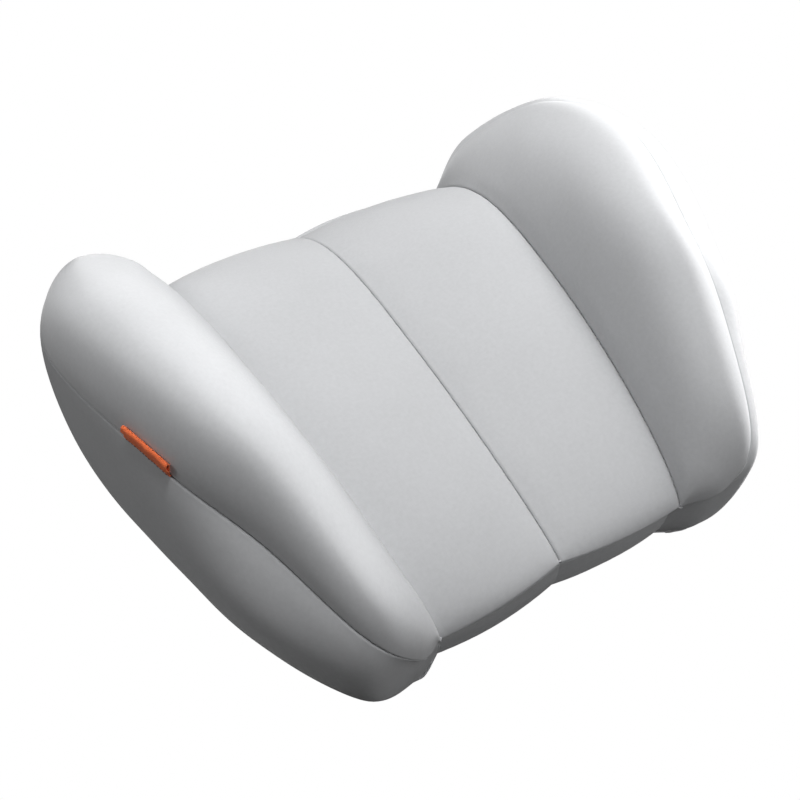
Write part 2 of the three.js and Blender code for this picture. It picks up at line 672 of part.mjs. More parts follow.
function addSocket() {
  const halfWidth = BUCKLE_HALF_WIDTH;
  const sides = [STRAP_Y - halfWidth, STRAP_Y + halfWidth];
  const body = plate(
    roundedRectangle([SOCKET_END_X, BUCKLE_MOUTH_X], sides, BUCKLE_CORNER),
    [BUCKLE_LOW, BUCKLE_HIGH],
  );
  const roomY = [sides[0] + BUCKLE_WALL, sides[1] - BUCKLE_WALL];
  const roomZ = [BUCKLE_LOW + BUCKLE_WALL, BUCKLE_HIGH - BUCKLE_WALL];
  const windowX = [BUCKLE_MOUTH_X - WINDOW.to, BUCKLE_MOUTH_X - WINDOW.from];
  const middleZ = (BUCKLE_LOW + BUCKLE_HIGH) / 2;
  const windowZ = [middleZ - WINDOW.height / 2, middleZ + WINDOW.height / 2];
  const slotX = [SOCKET_BAR[1], SOCKET_BAR[1] + WEBBING_SLOT];
  const barX = [SOCKET_END_X - 1, SOCKET_BAR[1] + 0.1];
  add(
    "buckle_socket",
    cut(
      body,
      block([BUCKLE_MOUTH_X - SOCKET_DEPTH, BUCKLE_MOUTH_X + 1], roomY, roomZ),
      block(windowX, [sides[0] - 1, sides[1] + 1], windowZ),
      block(slotX, STRAP_SIDES, [0, WIDE]),
      block(barX, STRAP_SIDES, [0, BAR_LOW]),
      block(barX, STRAP_SIDES, [BAR_TOP, WIDE]),
    ),
    bucklePlastic,
  );
}

function addPlug() {
  const sides = [STRAP_Y - BUCKLE_HALF_WIDTH, STRAP_Y + BUCKLE_HALF_WIDTH];
  const roomZ = [BUCKLE_LOW + BUCKLE_WALL + BUCKLE_GAP, BUCKLE_HIGH - BUCKLE_WALL - BUCKLE_GAP];
  const slotX = [PLUG_BAR[0] - WEBBING_SLOT, PLUG_BAR[0]];
  const barX = [PLUG_BAR[0] - 0.1, PLUG_END_X + 1];
  const base = cut(
    plate(roundedRectangle([PLUG_START_X, PLUG_END_X], sides, BUCKLE_CORNER), [BUCKLE_LOW, BUCKLE_HIGH]),
    block(slotX, STRAP_SIDES, [0, WIDE]),
    block(barX, STRAP_SIDES, [0, BAR_LOW]),
    block(barX, STRAP_SIDES, [BAR_TOP, WIDE]),
  );
  const guide = block(
    [PLUG_START_X - GUIDE_LENGTH, PLUG_START_X + 1],
    [STRAP_Y - GUIDE_WIDTH / 2, STRAP_Y + GUIDE_WIDTH / 2],
    roomZ,
  );
  add("buckle_plug", join(base, guide), bucklePlastic);

  // Each prong is a spring arm with a barb that shows in the socket's side window.
  const rootX = PLUG_START_X - PART_GAP;
  for (const [name, side] of [["left", -1], ["right", 1]]) {
    const near = STRAP_Y + side * PRONG_OFFSET;
    const far = near + side * PRONG_WIDTH;
    const tip = far + side * BARB.reach;
    const corners = [
      [rootX, near],
      [rootX, far],
      [PLUG_START_X - BARB.from, far],
      [PLUG_START_X - BARB.from, tip],
      [PLUG_START_X - BARB.to, tip],
      [rootX - PRONG_LENGTH, far],
      [rootX - PRONG_LENGTH, near],
    ];
    add(`buckle_prong_${name}`, plate(outlineOf(corners), roomZ), bucklePlastic);
  }
}

function addAdjuster() {
  const along = [ADJUSTER_X - ADJUSTER_LENGTH / 2, ADJUSTER_X + ADJUSTER_LENGTH / 2];
  const endLow = STRAP_TOP + PART_GAP;
  const endHigh = endLow + ADJUSTER_END_BAR;
  const across = [STRAP_SIDES[0] - 0.1, STRAP_SIDES[1] + 0.1];
  const rail = (from, to) => block(along, [from, to], [BAR_LOW, endHigh]);
  add(
    "strap_adjuster",
    join(
      rail(STRAP_SIDES[0] - ADJUSTER_RAIL, STRAP_SIDES[0]),
      rail(STRAP_SIDES[1], STRAP_SIDES[1] + ADJUSTER_RAIL),
      block([along[0], along[0] + ADJUSTER_BAR], across, [endLow, endHigh]),
      block([along[1] - ADJUSTER_BAR, along[1]], across, [endLow, endHigh]),
      block(
        [ADJUSTER_X - ADJUSTER_BAR / 2, ADJUSTER_X + ADJUSTER_BAR / 2],
        across,
        [BAR_LOW, BAR_LOW + ADJUSTER_CENTRE_BAR],
      ),
    ),
    bucklePlastic,
  );
}

// ---------------------------------------------------------------- loop tag

// A folded ribbon, open at both ends, sewn into the left wing's outer seam and lying up the wing.
function addTag() {
  const share = outlineShare(TAG_AT);
  const at = mirrored(outlineCurve.getPoint(share), -1);
  const along = mirrored(outlineCurve.getTangent(share), -1).negate();
  const row = rows.findIndex((t) => t > TAG_AT);
  const [inner, seam] = [WING_COLUMNS - 1, WING_COLUMNS].map((column) => points[leftColumns[column][row]]);
  const up = inner.clone().sub(seam);
  up.addScaledVector(along, -up.dot(along)).normalize();
  const out = along.clone().cross(up);
  const half = TAG_THICKNESS / 2;
  const profile = roundedRectangle([0, TAG_REACH], [-half, half], half - 0.1);
  const room = half - TAG_WALL;
  profile.holes.push(roundedRectangle([TAG_WALL, TAG_REACH - TAG_WALL], [-room, room], room - 0.05));
  const geometry = new THREE.ExtrudeGeometry(profile, { depth: TAG_LENGTH, bevelEnabled: false, curveSegments: 3 })
    .translate(0, half + TAG_STAND_OFF, -TAG_LENGTH / 2)
    .applyMatrix4(new THREE.Matrix4().makeBasis(up, out, along))
    .translate(at.x, at.y, at.z);
  add("loop_tag", geometry, tagRibbon);
}

addPadding();
addCover();
addZip();
addLeftStrap();
addRightStrap();
addPatches();
addSocket();
addPlug();
addAdjuster();
addTag();

export default cushion;
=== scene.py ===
"""A lumbar support cushion: moulded foam in a sewn cover, with a zip, a strap and a buckle behind.

Lengths are millimetres unless a name or comment says otherwise; meshes are made in metres, in the
part's own frame.
"""

import math

import bmesh
import bpy
import numpy as np
from mathutils import Matrix, Vector


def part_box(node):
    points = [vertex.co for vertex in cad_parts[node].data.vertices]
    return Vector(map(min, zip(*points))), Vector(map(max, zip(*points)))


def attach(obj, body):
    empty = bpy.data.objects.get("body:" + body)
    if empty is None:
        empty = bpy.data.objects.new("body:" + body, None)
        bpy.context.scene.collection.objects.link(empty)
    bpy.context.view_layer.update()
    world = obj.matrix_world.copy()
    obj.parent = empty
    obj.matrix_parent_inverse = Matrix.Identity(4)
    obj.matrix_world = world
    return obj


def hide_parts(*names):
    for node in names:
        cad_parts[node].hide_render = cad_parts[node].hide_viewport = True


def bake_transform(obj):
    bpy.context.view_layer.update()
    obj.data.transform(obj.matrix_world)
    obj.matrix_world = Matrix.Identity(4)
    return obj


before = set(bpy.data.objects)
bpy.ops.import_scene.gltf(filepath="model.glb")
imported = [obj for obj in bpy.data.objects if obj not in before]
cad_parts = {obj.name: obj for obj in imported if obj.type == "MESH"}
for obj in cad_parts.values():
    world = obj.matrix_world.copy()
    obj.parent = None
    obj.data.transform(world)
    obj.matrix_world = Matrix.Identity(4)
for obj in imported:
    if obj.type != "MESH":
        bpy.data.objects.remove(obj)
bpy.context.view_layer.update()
MM = 0.001

# ---------------------------------------------------------------- the cushion's shape

# Along every seam, t runs from -1 at the narrow lower edge to 1 at the wide upper edge. Pairs and
# triples are the low, middle and high values.
WING_SEAM_X = (79, 97.5, 111)
WING_SEAM_Y = (-162.5, 151.5)
CENTRE_SEAM_Y = (-157.5, 156)
SCALLOP = (4, 5.5)
EDGE_HEIGHT = (34, 26)
CENTRE_HEIGHT = 62
WING_SEAM_HEIGHT = 79
HEIGHT_TILT = 7.5
PANEL_PUFF = 7
LOW_END = (2, 1.7)
HIGH_END = (3.1, 1)

# Each wing's outer seam from its lower to its upper end: x away from the middle, y, z and how far the
# side gusset stands out past it. Side -1 is the left wing and side 1 the right, whose gusset is fuller.
WING_OUTLINES = {
    -1: (
        (98, -171.5, 46, -7),
        (123, -159.5, 77, 9),
        (146, -104.5, 98, 21.5),
        (173, -50.5, 115, 8),
        (196, 46.5, 113, 2),
        (169, 117.5, 97, 16.5),
        (128, 154.5, 53, 23),
    ),
    1: (
        (102.4, -171.5, 47.5, -4),
        (124.3, -159.5, 69.5, 6),
        (148, -104.5, 95, 13),
        (164, -50.5, 113.5, 21.5),
        (195, 46.5, 118.5, 28),
        (179.5, 117.5, 105, 24),
        (141.5, 154.5, 60, 19),
    ),
}
LOW_BULGE = (-1, -5)
HIGH_BULGE = (6, 2)
OUTLINE_MIDDLE_SPEED = 0.63
WING_RISE = {-1: 63, 1: 56}
WING_RISE_TILT = 3
WING_CREST = 0.42
WING_INNER_POWER = 1.8
WING_OUTER_POWER = {-1: 3.8, 1: 2.4}
CREST_SOFTNESS = 0.24
CREST_RESTORE = 1.02
CREST_SAMPLES = 15
BULGE_AXES = (190, 160)

# Height of the gusset's widest place as a share of its seam's, left and right, and the width in x of
# the change from one to the other.
GUSSET_WIDEST = (0.6, 0.82)
GUSSET_CHANGE = 60
FLOOR_RING = 0.94

# The back: a flat band on the floor round a slope up to a flat hollow.
BAND_RING = 0.88
RECESS_RING = 0.78
RECESS_DEPTH = 14
BACK_REACH = 150


def mix(low, high, share):
    """From low to high in step with the share."""
    return low + (high - low) * share


def smooth_step(share):
    """0 below 0, 1 above 1 and three squares less two cubes between."""
    share = np.clip(share, 0, 1)
    return share * share * (3 - 2 * share)


def seam_x(t):
    """The parabola through the wing seam's low, middle and high x."""
    low, middle, high = WING_SEAM_X
    return low * t * (t - 1) / 2 + middle * (1 - t * t) + high * t * (t + 1) / 2


def rounded_over(t, power, root):
    """1 in the middle and 0 at both ends: the root of 1 minus |t| to the power."""
    return np.clip(1 - np.abs(t) ** power, 0, 1) ** (1 / root)


def seam_height(crown, t):
    """The edge's height at the ends, and the crown, tilted with t, between them."""
    edge = np.where(t < 0, *EDGE_HEIGHT)
    share = np.where(t < 0, rounded_over(t, *LOW_END), rounded_over(t, *HIGH_END))
    return mix(edge, crown + HEIGHT_TILT * t, share)


def centre_point(across, t):
    """A centre panel: across is 0 on the centre seam and 1 on the wing seam.

    x is a share of the seam's, y runs between two scalloped ends, and z is a puffed crown.
    """
    scallop = 4 * across * (1 - across)
    low = mix(CENTRE_SEAM_Y[0], WING_SEAM_Y[0], across**2) - SCALLOP[0] * scallop
    high = mix(CENTRE_SEAM_Y[1], WING_SEAM_Y[1], across**2) + SCALLOP[1] * scallop
    puff = PANEL_PUFF * (1 - (2 * across - 1) ** 2)
    crown = mix(CENTRE_HEIGHT, WING_SEAM_HEIGHT, across**2) + puff
    return np.stack([seam_x(t) * across, mix(low, high, (t + 1) / 2), seam_height(crown, t)], -1)


def end_point(t):
    """The wing seam's end at t = -1 or 1, with the gusset's bulge there."""
    bulge = LOW_BULGE[1] if t < 0 else HIGH_BULGE[1]
    return (*centre_point(np.ones(1), np.full(1, float(t)))[0], bulge)


OUTLINES = {side: np.array([end_point(-1), *WING_OUTLINES[side], end_point(1)]) for side in (-1, 1)}


def outline_point(t, side):
    """The wing's outer seam with its bulge: a Catmull-Rom curve, run along faster near its ends."""
    share = 0.5 + 0.5 * (OUTLINE_MIDDLE_SPEED * t + (1 - OUTLINE_MIDDLE_SPEED) * t * np.abs(t) ** 3)
    outline = OUTLINES[side]
    first, last = 2 * outline[0] - outline[1], 2 * outline[-1] - outline[-2]
    knots = np.vstack([first, outline, last])
    place = np.clip(share, 0, 1) * (len(outline) - 1)
    span = np.minimum(place.astype(int), len(outline) - 2)
    w = (place - span)[..., None]
    p0, p1, p2, p3 = (knots[span + k] for k in range(4))
    v1, v2 = (p2 - p0) / 2, (p3 - p1) / 2
    return (2 * p1 - 2 * p2 + v1 + v2) * w**3 + (3 * p2 - 3 * p1 - 2 * v1 - v2) * w**2 + v1 * w + p1


def raw_lift(across, side):
    """0 at both seams and 1 at the crest: it climbs by one power and falls by another."""
    climb = 1 - np.clip(1 - across / WING_CREST, 0, 1) ** WING_INNER_POWER
    fall = 1 - np.clip((across - WING_CREST) / (1 - WING_CREST), 0, 1) ** WING_OUTER_POWER[side]
    return np.where(across < WING_CREST, climb, fall)


def lift(across, side):
    """The raw lift averaged over a window that narrows to nothing at the seams, scaled back to 1."""
    offsets = np.linspace(-1, 1, CREST_SAMPLES)
    weights = np.cos(offsets * math.pi / 2) ** 2
    across = np.asarray(across, float)[..., None]
    window = CREST_SOFTNESS * np.sin(math.pi * across)
    total = (raw_lift(across + window * offsets, side) * weights).sum(-1)
    return total / weights.sum() * CREST_RESTORE


def wing_point(across, t, side):
    """A wing panel: the straight line from wing seam to outer seam, lifted over a crest."""
    inner, outer = centre_point(np.ones_like(t), t), outline_point(t, side)[..., :3]
    rise = (WING_RISE[side] + WING_RISE_TILT * t) * rounded_over(t, 2, 1)
    crest = inner[..., 2] + rise - mix(inner[..., 2], outer[..., 2], WING_CREST)
    point = mix(inner, outer, across[..., None])
    point[..., 2] += crest * lift(across, side)
    return point


def side_point(ring, share):
    """The side gusset below its seam: share is 0 at the seam, 1 at the widest place and 2 at the floor.

    It swells outwards by the seam's bulge on a parabola, then turns in to the floor on a quarter
    ellipse. Outwards is the direction of a flattened ellipse's normal.
    """
    x, y, z, bulge = (ring[..., k] for k in range(4))
    outward = np.stack([x / BULGE_AXES[0] ** 2, y / BULGE_AXES[1] ** 2], -1)
    outward /= np.linalg.norm(outward, axis=-1, keepdims=True)
    foot = np.stack([x, y], -1)
    wide = foot + outward * bulge[..., None]
    swell = (1 - (1 - np.minimum(share, 1)) ** 2)[..., None]
    turn = (np.clip(share - 1, 0, 1) * math.pi / 2)[..., None]
    tucked = mix(wide, foot * FLOOR_RING, 1 - np.cos(turn))
    plan = np.where(share[..., None] <= 1, mix(foot, wide, swell), tucked)
    widest = z * mix(*GUSSET_WIDEST, smooth_step(x / GUSSET_CHANGE + 0.5))
    upper = mix(z, widest, share)
    lower = widest * (1 - np.sin(turn[..., 0]))
    return np.concatenate([plan, np.where(share <= 1, upper, lower)[..., None]], -1)


# ---------------------------------------------------------------- grids over the shape

# Distances from a seam at which the cloth has a row of points, and the steps between rows elsewhere.
SEAM_ROWS = (0, 0.15, 0.35, 0.6, 0.9, 1.3, 1.9, 2.8, 4.2, 6)
ROW_STEP = 2.6
SIDE_STEP = 3.2
COARSE_STEP = 7.5
DENSE = np.linspace(0, 1, 4001)
MIRROR = np.array([-1, 1, 1])


def stations(curve, step, near_seam):
    """Shares of a curve of dense points: at the near-seam distances from both ends, even between."""
    lengths = np.r_[0, np.cumsum(np.linalg.norm(np.diff(curve, axis=0), axis=1))]
    near = np.array(near_seam)
    inner = lengths[-1] - 2 * near[-1]
    middle = near[-1] + np.linspace(0, inner, max(2, round(inner / step) + 1))[1:-1]
    return np.interp(np.r_[near, middle, lengths[-1] - near[::-1]], lengths, DENSE)


def fold(share):
    """t for a share from 0 to 1 along a seam, by a sine, so that even shares stay even over the ends."""
    return np.sin(math.pi / 2 * (2 * share - 1))


def outer_ring(centre, rows):
    """The outer seam with its bulge, anticlockwise seen from the front, from the lower middle.

    The right wing's rows stand between the two ends of the centre panels, and the left wing's are
    mirrored about x = 0 and run back.
    """
    low = np.c_[centre_point(centre, np.full_like(centre, -1)), mix(*LOW_BULGE, centre**2)]
    high = np.c_[centre_point(centre, np.ones_like(centre)), mix(*HIGH_BULGE, centre**2)]
    right, left = (
        np.vstack([low[:-1], outline_point(rows, side), high[::-1][1:]]) for side in (1, -1)
    )
    return np.vstack([right[:-1], (left[::-1] * np.array([-1, 1, 1, 1]))[:-1]])


def cover(step, side_step, near_seam):
    """The cover's patches as grids of points, and the shares, rows and rings that they stand on.

    Wings and centre panels run across by along; the side and the back run inwards by round.
    """
    middle = np.zeros_like(DENSE)
    rows = fold(stations(centre_point(np.full_like(DENSE, 0.6), fold(DENSE)), step, near_seam))
    rows[0], rows[-1] = -1, 1
    centre = stations(centre_point(DENSE, middle), step, near_seam)
    wing = stations(wing_point(DENSE, middle, 1), step, near_seam)
    ring = outer_ring(centre, rows)
    widest = ring[len(centre) + len(rows) // 2]
    section = side_point(np.tile(widest, (len(DENSE), 1)), 2 * DENSE)
    levels = 2 * stations(section, side_step, near_seam)
    inwards = stations(np.c_[DENSE * BACK_REACH, middle, middle], side_step, near_seam)
    scales = FLOOR_RING * (1 - inwards)
    slope = RECESS_DEPTH * smooth_step((BAND_RING - scales) / (BAND_RING - RECESS_RING))
    plan = ring[None, :, :2] * scales[:, None, None]
    height = np.broadcast_to(slope[:, None, None], (*plan.shape[:2], 1))
    centre_right = centre_point(*np.meshgrid(centre, rows, indexing="ij"))
    wing_grid = np.meshgrid(wing, rows, indexing="ij")
    wing_left, wing_right = (wing_point(*wing_grid, side) for side in (-1, 1))
    grids = {
        "wing_left": (wing_left * MIRROR)[::-1],
        "centre_left": (centre_right * MIRROR)[::-1],
        "centre_right": centre_right,
        "wing_right": wing_right,
        "side": side_point(ring[None], np.broadcast_to(levels[:, None], (len(levels), len(ring)))),
        "back": np.concatenate([plan, height], -1),
    }
    return grids, {"rows": rows, "centre": centre, "wing": wing, "levels": levels, "ring": ring}


# Which of a patch's first row, last row, first column and last column are seams.
SEAMS = {
    "wing_left": (1, 1, 0, 0),
    "centre_left": (1, 1, 1, 1),
    "centre_right": (1, 1, 1, 1),
    "wing_right": (1, 1, 0, 0),
    "side": (1, 1, 0, 0),
    "back": (1, 0, 0, 0),
}
CLOSED = {"side", "back"}


def run_lengths(points, axis):
    """Distance along a grid's lines from their first point."""
    steps = np.linalg.norm(np.diff(points, axis=axis), axis=-1)
    return np.cumsum(np.concatenate([np.zeros_like(np.take(steps, [0], axis)), steps], axis), axis)


def unit(vectors):
    """The vectors at length 1, and those of no length left as they are."""
    return vectors / np.maximum(np.linalg.norm(vectors, axis=-1, keepdims=True), 1e-9)


def grid_normals(points, closed):
    """Unit normals of a grid: the cross product of its steps inwards and its steps along."""
    if closed:
        along = np.roll(points, -1, 1) - np.roll(points, 1, 1)
    else:
        along = np.gradient(points, axis=1)
    return unit(np.cross(np.gradient(points, axis=0), along))


def weld(grids):
    """All grids' points with equal ones joined, and for each grid the numbers of its points."""
    flat = np.concatenate([points.reshape(-1, 3) for points in grids.values()])
    _, first, number = np.unique(np.round(flat, 3), axis=0, return_index=True, return_inverse=True)
    number = number.ravel()
    numbers, at = {}, 0
    for name, points in grids.items():
        count = points.shape[0] * points.shape[1]
        numbers[name] = number[at : at + count].reshape(points.shape[:2])
        at += count
    return flat[first], numbers


def common_normals(grids):
    """Each grid's normals with those of points shared by several patches averaged."""
    points, numbers = weld(grids)
    total = np.zeros_like(points)
    for name, own in grids.items():
        np.add.at(total, numbers[name].ravel(), grid_normals(own, name in CLOSED).reshape(-1, 3))
    total = unit(total)
    return {name: total[numbers[name]] for name in grids}


def sheet_faces(rows, columns, closed):
    """Four corners of every cell of a grid, by point number; closed joins the last column to the first."""
    cells = columns if closed else columns - 1
    row, column = np.meshgrid(np.arange(rows - 1), np.arange(cells), indexing="ij")
    after = (column + 1) % columns
    here, below = row * columns, (row + 1) * columns
    corners = [here + column, below + column, below + after, here + after]
    return np.stack([corner.ravel() for corner in corners], 1)


# ---------------------------------------------------------------- mesh objects

def add_mesh(name, points, faces, uv=None, uv_faces=None):
    """A smooth mesh of points in millimetres and four-cornered faces; equal points are joined.

    A face whose corners fall together becomes a triangle or is left out. uv is in millimetres too.
    """
    flat = points.reshape(-1, 3)
    _, first, number = np.unique(np.round(flat, 4), axis=0, return_index=True, return_inverse=True)
    faces = number.ravel()[faces]
    kept = faces != np.roll(faces, 1, axis=1)
    counts = kept.sum(1)
    whole = counts > 2
    counts = counts[whole]
    corners = faces[whole][kept[whole]].astype(np.int32)
    mesh = bpy.data.meshes.new(name)
    mesh.vertices.add(len(first))
    mesh.vertices.foreach_set("co", (flat[first] * MM).astype(np.float32).ravel())
    mesh.loops.add(len(corners))
    mesh.loops.foreach_set("vertex_index", corners)
    mesh.polygons.add(len(counts))
    mesh.polygons.foreach_set("loop_start", np.r_[0, np.cumsum(counts)[:-1]].astype(np.int32))
    if uv is not None:
        layer = mesh.uv_layers.new(name="UVMap")
        places = uv.reshape(-1, 2)[uv_faces[whole][kept[whole]]] * MM
        layer.data.foreach_set("uv", places.astype(np.float32).ravel())
    mesh.update()
    mesh.polygons.foreach_set("use_smooth", np.ones(len(counts), bool))
    made = bpy.data.objects.new(name, mesh)
    bpy.context.scene.collection.objects.link(made)
    return made


def add_grid(name, points, closed=False):
    """A mesh of a grid of points, with its UV the distances across and along it."""
    rows, columns = points.shape[:2]
    run = np.concatenate([points, points[:, :1]], 1) if closed else points
    uv = np.stack([run_lengths(run, 0), run_lengths(run, 1)], -1)
    faces = sheet_faces(rows, columns, closed)
    uv_faces = sheet_faces(rows, columns + 1, False) if closed else faces
    return add_mesh(name, points, faces, uv, uv_faces)


def rides(piece, body, slot, *nodes):
    """The piece moves with the body and stands for the nodes; the slot is not used."""
    if nodes:
        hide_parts(*nodes)
    if body:
        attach(piece, body)
    return piece


def give(piece, material):
    """The piece's only material."""
    piece.data.materials.clear()
    piece.data.materials.append(material)
    return piece


def thicken(piece, thickness):
    """Cloth of this thickness in millimetres, its outside where it is now."""
    solid = piece.modifiers.new("thickness", "SOLIDIFY")
    solid.thickness = thickness * MM
    solid.offset = -1
    return piece


# ---------------------------------------------------------------- the cover's swelling

SWELL_STEPS = 16
SWELL_PRESSURE = 4
SWELL_CAP = 1.8
SWELL_FADE = 7


def swell(points, faces, held):
    """How far a closed skin of cloth moves when it is blown up while the held points stay.

    The movement is capped smoothly, by the hyperbolic tangent of its share of the cap.
    """
    skin = add_mesh("swelling_skin", points, faces)
    mesh = skin.data
    co = np.empty(len(mesh.vertices) * 3, np.float32)
    mesh.vertices.foreach_get("co", co)
    before = co.reshape(-1, 3).astype(float)
    group = skin.vertex_groups.new(name="held")
    group.add(np.flatnonzero(held).tolist(), 1, "REPLACE")
    cloth = skin.modifiers.new("cloth", "CLOTH")
    settings = cloth.settings
    settings.quality = 5
    settings.mass = 0.3
    settings.tension_stiffness = settings.compression_stiffness = 20
    settings.bending_stiffness = 1.5
    settings.use_pressure = True
    settings.uniform_pressure_force = SWELL_PRESSURE
    settings.effector_weights.gravity = 0
    settings.vertex_group_mass = "held"
    cloth.collision_settings.use_collision = False
    for step in range(1, SWELL_STEPS + 1):
        bpy.context.scene.frame_set(step)
    moved = skin.evaluated_get(bpy.context.evaluated_depsgraph_get()).data
    moved.vertices.foreach_get("co", co)
    shift = (co.reshape(-1, 3) - before) / MM
    bpy.context.scene.frame_set(1)
    bpy.data.objects.remove(skin)
    length = np.maximum(np.linalg.norm(shift, axis=1, keepdims=True), 1e-9)
    return shift / length * SWELL_CAP * np.tanh(length / SWELL_CAP)


def spline_weights(places, count, closed):
    """Cubic B-spline weights of each place, counted in coarse steps, on the coarse points."""
    away = np.abs(places[:, None] - np.arange(count))
    if closed:
        away = np.minimum(away, count - away)
    near = 2 / 3 - away**2 + away**3 / 2
    far = np.clip(2 - away, 0, None) ** 3 / 6
    weights = np.where(away < 1, near, far)
    return weights / weights.sum(1, keepdims=True)


def places_on(fine, coarse):
    """Where fine values lie between coarse ones, counted in coarse steps."""
    return np.interp(fine, coarse, np.arange(len(coarse)))


def ring_places(fine, coarse):
    """Where the fine outer seam's points lie on the coarse one, by their share of its length."""
    runs = []
    for ring in (fine, coarse):
        closed = np.vstack([ring, ring[:1]])[:, :3]
        run = np.r_[0, np.cumsum(np.linalg.norm(np.diff(closed, axis=0), axis=1))]
        runs.append(run / run[-1])
    return np.interp(runs[0][:-1], runs[1], np.arange(len(coarse) + 1))


coarse, coarse_on = cover(COARSE_STEP, COARSE_STEP, (0,))
fine, fine_on = cover(ROW_STEP, SIDE_STEP, SEAM_ROWS)
skin_points, skin_numbers = weld(coarse)
skin_faces = []
for name, points in coarse.items():
    cells = sheet_faces(*points.shape[:2], name in CLOSED)
    skin_faces.append(skin_numbers[name].ravel()[cells])
skin_faces = np.concatenate(skin_faces)
held = np.zeros(len(skin_points), bool)
for name in coarse:
    numbers = skin_numbers[name]
    for seam, edge in zip(SEAMS[name], (numbers[0], numbers[-1], numbers[:, 0], numbers[:, -1])):
        held[edge] |= bool(seam)
held[skin_numbers["back"].ravel()] = True


def swollen():
    # add_mesh joins equal points in sorted order, which is the order weld gives them in.
    shift = swell(skin_points, skin_faces, held)
    return {name: shift[skin_numbers[name]] for name in coarse}


# ---------------------------------------------------------------- seams, puckers and swelling together

GROOVE_WIDTH = 1.7
GROOVE_DEPTH = 1.5
TENSION_DIP = 0.7
TENSION_REACH = 7
PUCKER_HEIGHT = 0.16
PUCKER_REACH = 5
PUCKER_PITCH = 7.3
SOFT_HEIGHT = 0.25
LEAN_REACH = 2.6


def nearest_seam(name, points, normals):
    """Distance to the patch's nearest seam, the common normal there and the distance run along it."""
    across, along = run_lengths(points, 0), run_lengths(points, 1)
    distances = [across, across[-1:] - across, along, along[:, -1:] - along]
    edges = [normals[:1], normals[-1:], normals[:, :1], normals[:, -1:]]
    runs = [along[:1], along[-1:], across[:, :1], across[:, -1:]]
    used = [k for k in range(4) if SEAMS[name][k]]
    stacked = np.stack([distances[k] for k in used])
    choice = stacked.argmin(0)
    normal = np.stack([np.broadcast_to(edges[k], points.shape) for k in used])
    run = np.stack([np.broadcast_to(runs[k], points.shape[:2]) for k in used])
    pick = np.take_along_axis
    return stacked.min(0), pick(normal, choice[None, ..., None], 0)[0], pick(run, choice[None], 0)[0]


def groove(distance):
    """Depth of the fold beside a seam: a quarter circle down to it."""
    inside = np.clip(1 - distance / GROOVE_WIDTH, 0, 1)
    return GROOVE_DEPTH * (1 - np.sqrt(1 - inside**2))


def softness(points):
    """A slow unevenness of the cloth: a sum of sines across space, from -1 to 1."""
    x, y, z = (points[..., k] for k in range(3))
    waves = ((0.031, 0.052, 0.017, 0.3), (-0.073, 0.041, 0.029, 1.9), (0.118, -0.094, 0.071, 4.1))
    return sum(np.sin(a * x + b * y + c * z + phase) for a, b, c, phase in waves) / len(waves)


def sew(name, points, normals, swelling):
    """A fine patch with its swelling, the dips and folds at its seams, and fine puckers beside them.

    The dip is a bell curve of the distance from the seam. The puckers are a sine along the seam whose
    pitch and strength change slowly, and which dies away exponentially with distance.
    """
    distance, seam_normal, run = nearest_seam(name, points, normals)
    lean = smooth_step(distance / LEAN_REACH)[..., None]
    inwards = -unit(mix(seam_normal, normals, lean))
    away = 1 - np.exp(-((distance / SWELL_FADE) ** 2))
    dip = groove(distance) + TENSION_DIP * np.exp(-((distance / TENSION_REACH) ** 2))
    beside = distance / (distance + 1) * np.exp(-distance / PUCKER_REACH)
    strength = 0.6 + 0.4 * np.sin(run / 29 + 1)
    rhythm = np.sin(2 * math.pi * run / PUCKER_PITCH + 1.3 * np.sin(run / 17)) * strength
    raise_by = PUCKER_HEIGHT * beside * rhythm + SOFT_HEIGHT * away * softness(points)
    return points + swelling * away[..., None] + inwards * (dip - raise_by)[..., None]


swelling = swollen()
ring_at = ring_places(fine_on["ring"], coarse_on["ring"])
round_weights = spline_weights(ring_at, len(coarse_on["ring"]), True)
rows_at = places_on(fine_on["rows"], coarse_on["rows"])
row_weights = spline_weights(rows_at, len(coarse_on["rows"]), False)
across_weights = {}
for name, key in (("centre", "centre"), ("wing", "wing"), ("side", "levels")):
    count = len(coarse_on[key])
    across_weights[name] = spline_weights(places_on(fine_on[key], coarse_on[key]), count, False)

normals = common_normals(fine)
sewn = {}
for name, points in fine.items():
    if name == "back":
        moved = np.zeros_like(points)
    else:
        inwards = across_weights[name.split("_")[0]]
        if name.endswith("left"):
            inwards = inwards[::-1, ::-1]
        along = round_weights if name == "side" else row_weights
        moved = np.einsum("ai,ijk,bj->abk", inwards, swelling[name], along)
    sewn[name] = sew(name, points, normals[name], moved)


# ---------------------------------------------------------------- camera

CAMERA_TARGET = Vector((0, -5.5, 40)) * MM
CAMERA_AZIMUTH = math.radians(33.25)
CAMERA_ELEVATION = math.radians(48.78)
CAMERA_ROLL = math.radians(2.74)
# In metres.
CAMERA_DISTANCE = 0.6211
CAMERA_LENS = 45.4
CAMERA_SHIFT = (-0.0191, -0.0347)


